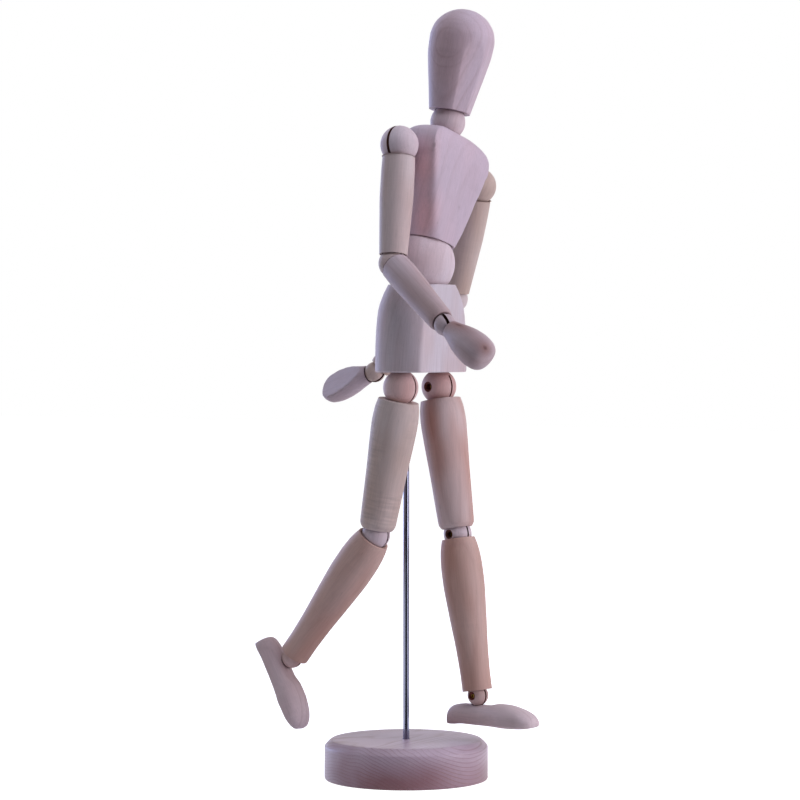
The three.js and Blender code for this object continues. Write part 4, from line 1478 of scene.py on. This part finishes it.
@dataclass(frozen=True)
class Leg:
    """Hip, knee and ankle of one side with the pieces that they carry.

    The shift is where in the tree this leg's wood comes from, so that no two pieces match.
    """

    side: Side
    hip: Bend
    knee: Bend
    ankle: Bend
    thigh_wood: Wood
    shift: float
    thigh_blushes: tuple[Blush, ...] = ()

    def build(self, pelvis: Seat, sizes: Pelvis) -> None:
        """Hangs the leg from the hip block.

        Args:
            pelvis: The hip block's axes.
            sizes: The hip block's sizes.
        """
        word, sign, shift = self.side.word, self.side.value, self.shift
        ball = pelvis.then((sign * sizes.hip_spacing / 2, 0, 0), rotation("Z", self.hip.turn))
        add_ball(f"{word}_hip", HIP, ball, -sign, HIP_WOOD, Cut((16, 18), 4, shift))
        upper = ball.then(HERE, rotation("X", self.hip.bend))
        Workshop.piece(f"{word}_thigh", [THIGH.skin()], upper, self.thigh_wood,
                       Cut((-20, -22), 2, shift + 70, blushes=self.thigh_blushes))
        ball = upper.then((0, 0, -THIGH.length), rotation("Z", self.knee.turn))
        add_ball(f"{word}_knee", KNEE, ball, -sign, BALL_WOOD, Cut((14, -20), 3, shift + 140))
        lower = ball.then(HERE, rotation("X", self.knee.bend))
        Workshop.piece(f"{word}_shin", [SHIN.skin()], lower, SHIN_WOOD,
                       Cut((24, 17), 2, shift + 210))
        ball = lower.then((0, 0, -SHIN.length), rotation("Z", self.ankle.turn))
        add_ball(f"{word}_ankle", ANKLE, ball, -sign, ROSY_WOOD, Cut((11, 13), 3, shift + 280))
        sole = ball.then(HERE, rotation("X", self.ankle.bend), rotation("Z", self.ankle.twist))
        Workshop.piece(f"{word}_foot", [Foot().skin()], sole, FOOT_WOOD,
                       Cut((19, -9), 3, shift + 350, Fibre.ACROSS), ((HERE, ANKLE.cup),))


@dataclass(frozen=True)
class LayFigure:
    """The whole figure in its walking pose."""

    rod_setback: float = 6.6
    waist: Bend = Bend(-4.4, 15.6, 1.6)
    neck: Bend = Bend(9.0, 2.4, -6.4)
    pelvis: Pelvis = Pelvis()
    chest: Chest = Chest()
    head: Head = Head()
    arms: tuple[Arm, ...] = field(default_factory=lambda: (
        Arm(Side.RIGHT, Bend(-5.6, -5.6), Bend(76.4, 50.6), Bend(-33.6, -3.6, 10.7, 147),
            PALE_WOOD, GREY_WOOD, BALL_WOOD, (2.7, -4.5),
            Hand(palm_depth=4.8, palm_slope=6.5), 400),
        Arm(Side.LEFT, Bend(15.9, 17.4), Bend(140.2, 35.7), Bend(-46, 30, -7, 68),
            TAN_WOOD, TAN_WOOD, TAN_WOOD, (12.0, 9.0), Hand(), 900),
    ))
    # The left thigh is red along its inner side and pale at the knee.
    legs: tuple[Leg, ...] = field(default_factory=lambda: (
        Leg(Side.RIGHT, Bend(3, 11.1), Bend(0, 26.8), Bend(0, 21.3, 0, -3), CURLY_WOOD, 1400),
        Leg(Side.LEFT, Bend(-8, -9.7), Bend(0, 0.1), Bend(0, 9, 0, 8), ROSY_WOOD, 1900,
            (((-9.0, -1.5, -15.0), (6.0, 6.0, 28.0), 1.0),
             ((-4.5, -5.5, -45.0), (9.0, 9.0, 26.0), -0.9))),
    ))

    def build(self) -> None:
        """Builds the torso from the hips up, then the limbs."""
        over = rotation("X", 180)
        pelvis = Seat(np.eye(3), np.array([0.0, -self.rod_setback, HIP_HEIGHT]))
        self.pelvis.build(pelvis)
        ball = pelvis.then((0, 0, self.pelvis.waist_rise),
                           rotation("Z", self.waist.turn + 90), over)
        add_ball("waist", WAIST, ball, 1, BALL_WOOD, Cut((20, -26), 3, 20))
        chest = ball.then(HERE, rotation("X", self.waist.bend), over, rotation("Z", -90),
                          rotation("X", self.waist.skew))
        self.chest.build(chest)
        ball = chest.then((0, 0, self.chest.neck_rise), rotation("Z", self.neck.turn), over)
        add_ball("neck", NECK, ball, 1, BALL_WOOD, Cut((17, 21), 3, 130))
        skull = ball.then(HERE, rotation("X", self.neck.bend), over, rotation("Y", self.neck.skew))
        self.head.build(skull, self.neck.skew)
        for arm in self.arms:
            arm.build(chest, self.chest)
        for leg in self.legs:
            leg.build(pelvis, self.pelvis)


@dataclass(frozen=True)
class Lamp:
    """One soft box: where it stands in metres, its size, power and colour."""

    name: str
    at: Triple
    size: tuple[float, float]
    watts: float
    colour: str

    def build(self, target: Vector) -> None:
        """Adds the area light and aims it.

        Args:
            target: The point that it faces, in metres.
        """
        light = bpy.data.lights.new(self.name, "AREA")
        light.shape = "RECTANGLE"
        light.size, light.size_y = self.size
        light.energy = self.watts
        light.color = linear(self.colour)[:3]
        item = bpy.data.objects.new(self.name, light)
        item.location = self.at
        item.rotation_mode = "QUATERNION"
        item.rotation_quaternion = (target - Vector(self.at)).to_track_quat("-Z", "Y")
        bpy.context.scene.collection.objects.link(item)


@dataclass(frozen=True)
class Card:
    """A dark card towards the camera, unseen by it, that darkens what faces the lens.

    Each end is a distance from the rod, half a width and a height, in metres.
    """

    name: str
    start: Triple
    end: Triple
    darkens_wood: bool = True


@dataclass(frozen=True)
class Studio:
    """Camera, white ground, soft boxes and dark cards; sizes are in metres, angles in degrees."""

    camera_at: Triple = (-0.9632, -0.6562, 0.17483)
    heading: float = 34.387
    pitch: float = -1.19
    lens_mm: float = 132.16
    sensor_mm: float = 36.0
    floor_size: float = 8.0
    fill_level: float = 0.2
    aim: Triple = (0.0, 0.0, 0.16)
    lamps: tuple[Lamp, ...] = (
        Lamp("key_box", (0.37, -1.13, 0.30), (0.5, 0.9), 9.2, "#faf2ff"),
        Lamp("rim_box", (0.30, 1.20, 0.35), (0.5, 0.9), 9.0, "#b4c6ff"),
        Lamp("top_box", (-0.25, -0.3, 1.35), (0.8, 0.8), 7.0, "#e8eaff"),
    )
    cards: tuple[Card, ...] = (
        Card("upright_card", (1.5, 1.1, 0.0), (1.5, 1.1, 2.0)),
        Card("lying_card", (0.3, 0.2, 0.002), (1.5, 1.1, 0.0)),
        Card("foot_card", (0.06, 0.1, 0.002), (0.3, 0.2, 0.002), darkens_wood=False),
    )

    def build(self) -> None:
        """Sets up the camera, the floor, the cards, the world and the lamps."""
        bpy.context.scene.view_settings.view_transform = "Standard"
        self.add_camera()
        h = self.floor_size / 2
        self.add_sheet("floor", [(-h, -h, 0), (h, -h, 0), (h, h, 0), (-h, h, 0)], FLOOR_PAPER)
        for card in self.cards:
            self.add_card(card)
        self.light_world()
        for lamp in self.lamps:
            lamp.build(Vector(self.aim))

    def add_camera(self) -> None:
        """Stands the camera level with the hips, three quarters on to the figure's right front."""
        camera = bpy.data.cameras.new("camera")
        camera.lens = self.lens_mm
        camera.sensor_width = self.sensor_mm
        camera.clip_start, camera.clip_end = 0.01, 50.0
        item = bpy.data.objects.new("camera", camera)
        h, p = math.radians(self.heading), math.radians(self.pitch)
        look = Vector((math.cos(h) * math.cos(p), math.sin(h) * math.cos(p), math.sin(p)))
        item.location = self.camera_at
        item.rotation_mode = "QUATERNION"
        item.rotation_quaternion = look.to_track_quat("-Z", "Y")
        bpy.context.scene.collection.objects.link(item)
        bpy.context.scene.camera = item

    @staticmethod
    def add_sheet(name: str, corners: list[Triple], finish: Finish) -> bpy.types.Object:
        """Adds one four-cornered stage sheet.

        Args:
            name: The sheet's name.
            corners: Its corners in order, in metres.
            finish: The material's description.

        Returns:
            The new object.
        """
        mesh = bpy.data.meshes.new(name)
        mesh.from_pydata(corners, [], [(0, 1, 2, 3)])
        mesh.materials.append(finish.material())
        item = bpy.data.objects.new(name, mesh)
        bpy.context.scene.collection.objects.link(item)
        return item

    def add_card(self, card: Card) -> None:
        """Sets one dark card between the rod and the camera, or behind the camera.

        Args:
            card: Where its two ends lie, and what it darkens.
        """
        away = Vector((self.camera_at[0], self.camera_at[1], 0)).normalized()
        aside = Vector((-away.y, away.x, 0))
        corners = []
        for (distance, half, height), signs in ((card.start, (-1, 1)), (card.end, (1, -1))):
            middle = away * distance + Vector((0, 0, height))
            corners += [tuple(middle + aside * (sign * half)) for sign in signs]
        item = self.add_sheet(card.name, corners, CARD_FELT)
        item.visible_camera = False
        item.visible_shadow = False
        item.visible_diffuse = card.darkens_wood

    def light_world(self) -> None:
        """White to the lens and to metal, a soft dim sky to everything else."""
        world = bpy.data.worlds.new("studio")
        bpy.context.scene.world = world
        world.use_nodes = True
        tree = world.node_tree
        seen = add_node(tree, "LightPath", out="Is Camera Ray")
        for ray in ("Is Glossy Ray", "Is Transmission Ray"):
            seen = add_node(tree, "Math", {0: seen, 1: add_node(tree, "LightPath", out=ray)},
                            operation="MAXIMUM")
        level = add_node(tree, "MapRange",
                         {"Value": seen, "To Min": self.fill_level, "To Max": 1.0})
        back = tree.nodes["Background"]
        back.inputs["Color"].default_value = grey(1.0)
        tree.links.new(level, back.inputs["Strength"])


def main() -> None:
    """Builds the studio, the stand and the figure, and logs how many finer pieces were made."""
    logging.basicConfig(level=logging.INFO, format="%(name)s %(message)s")
    Studio().build()
    Stand().build()
    LayFigure().build()
    LOG.info("%d finer pieces", Workshop.made)


if __name__ == "__main__":
    main()
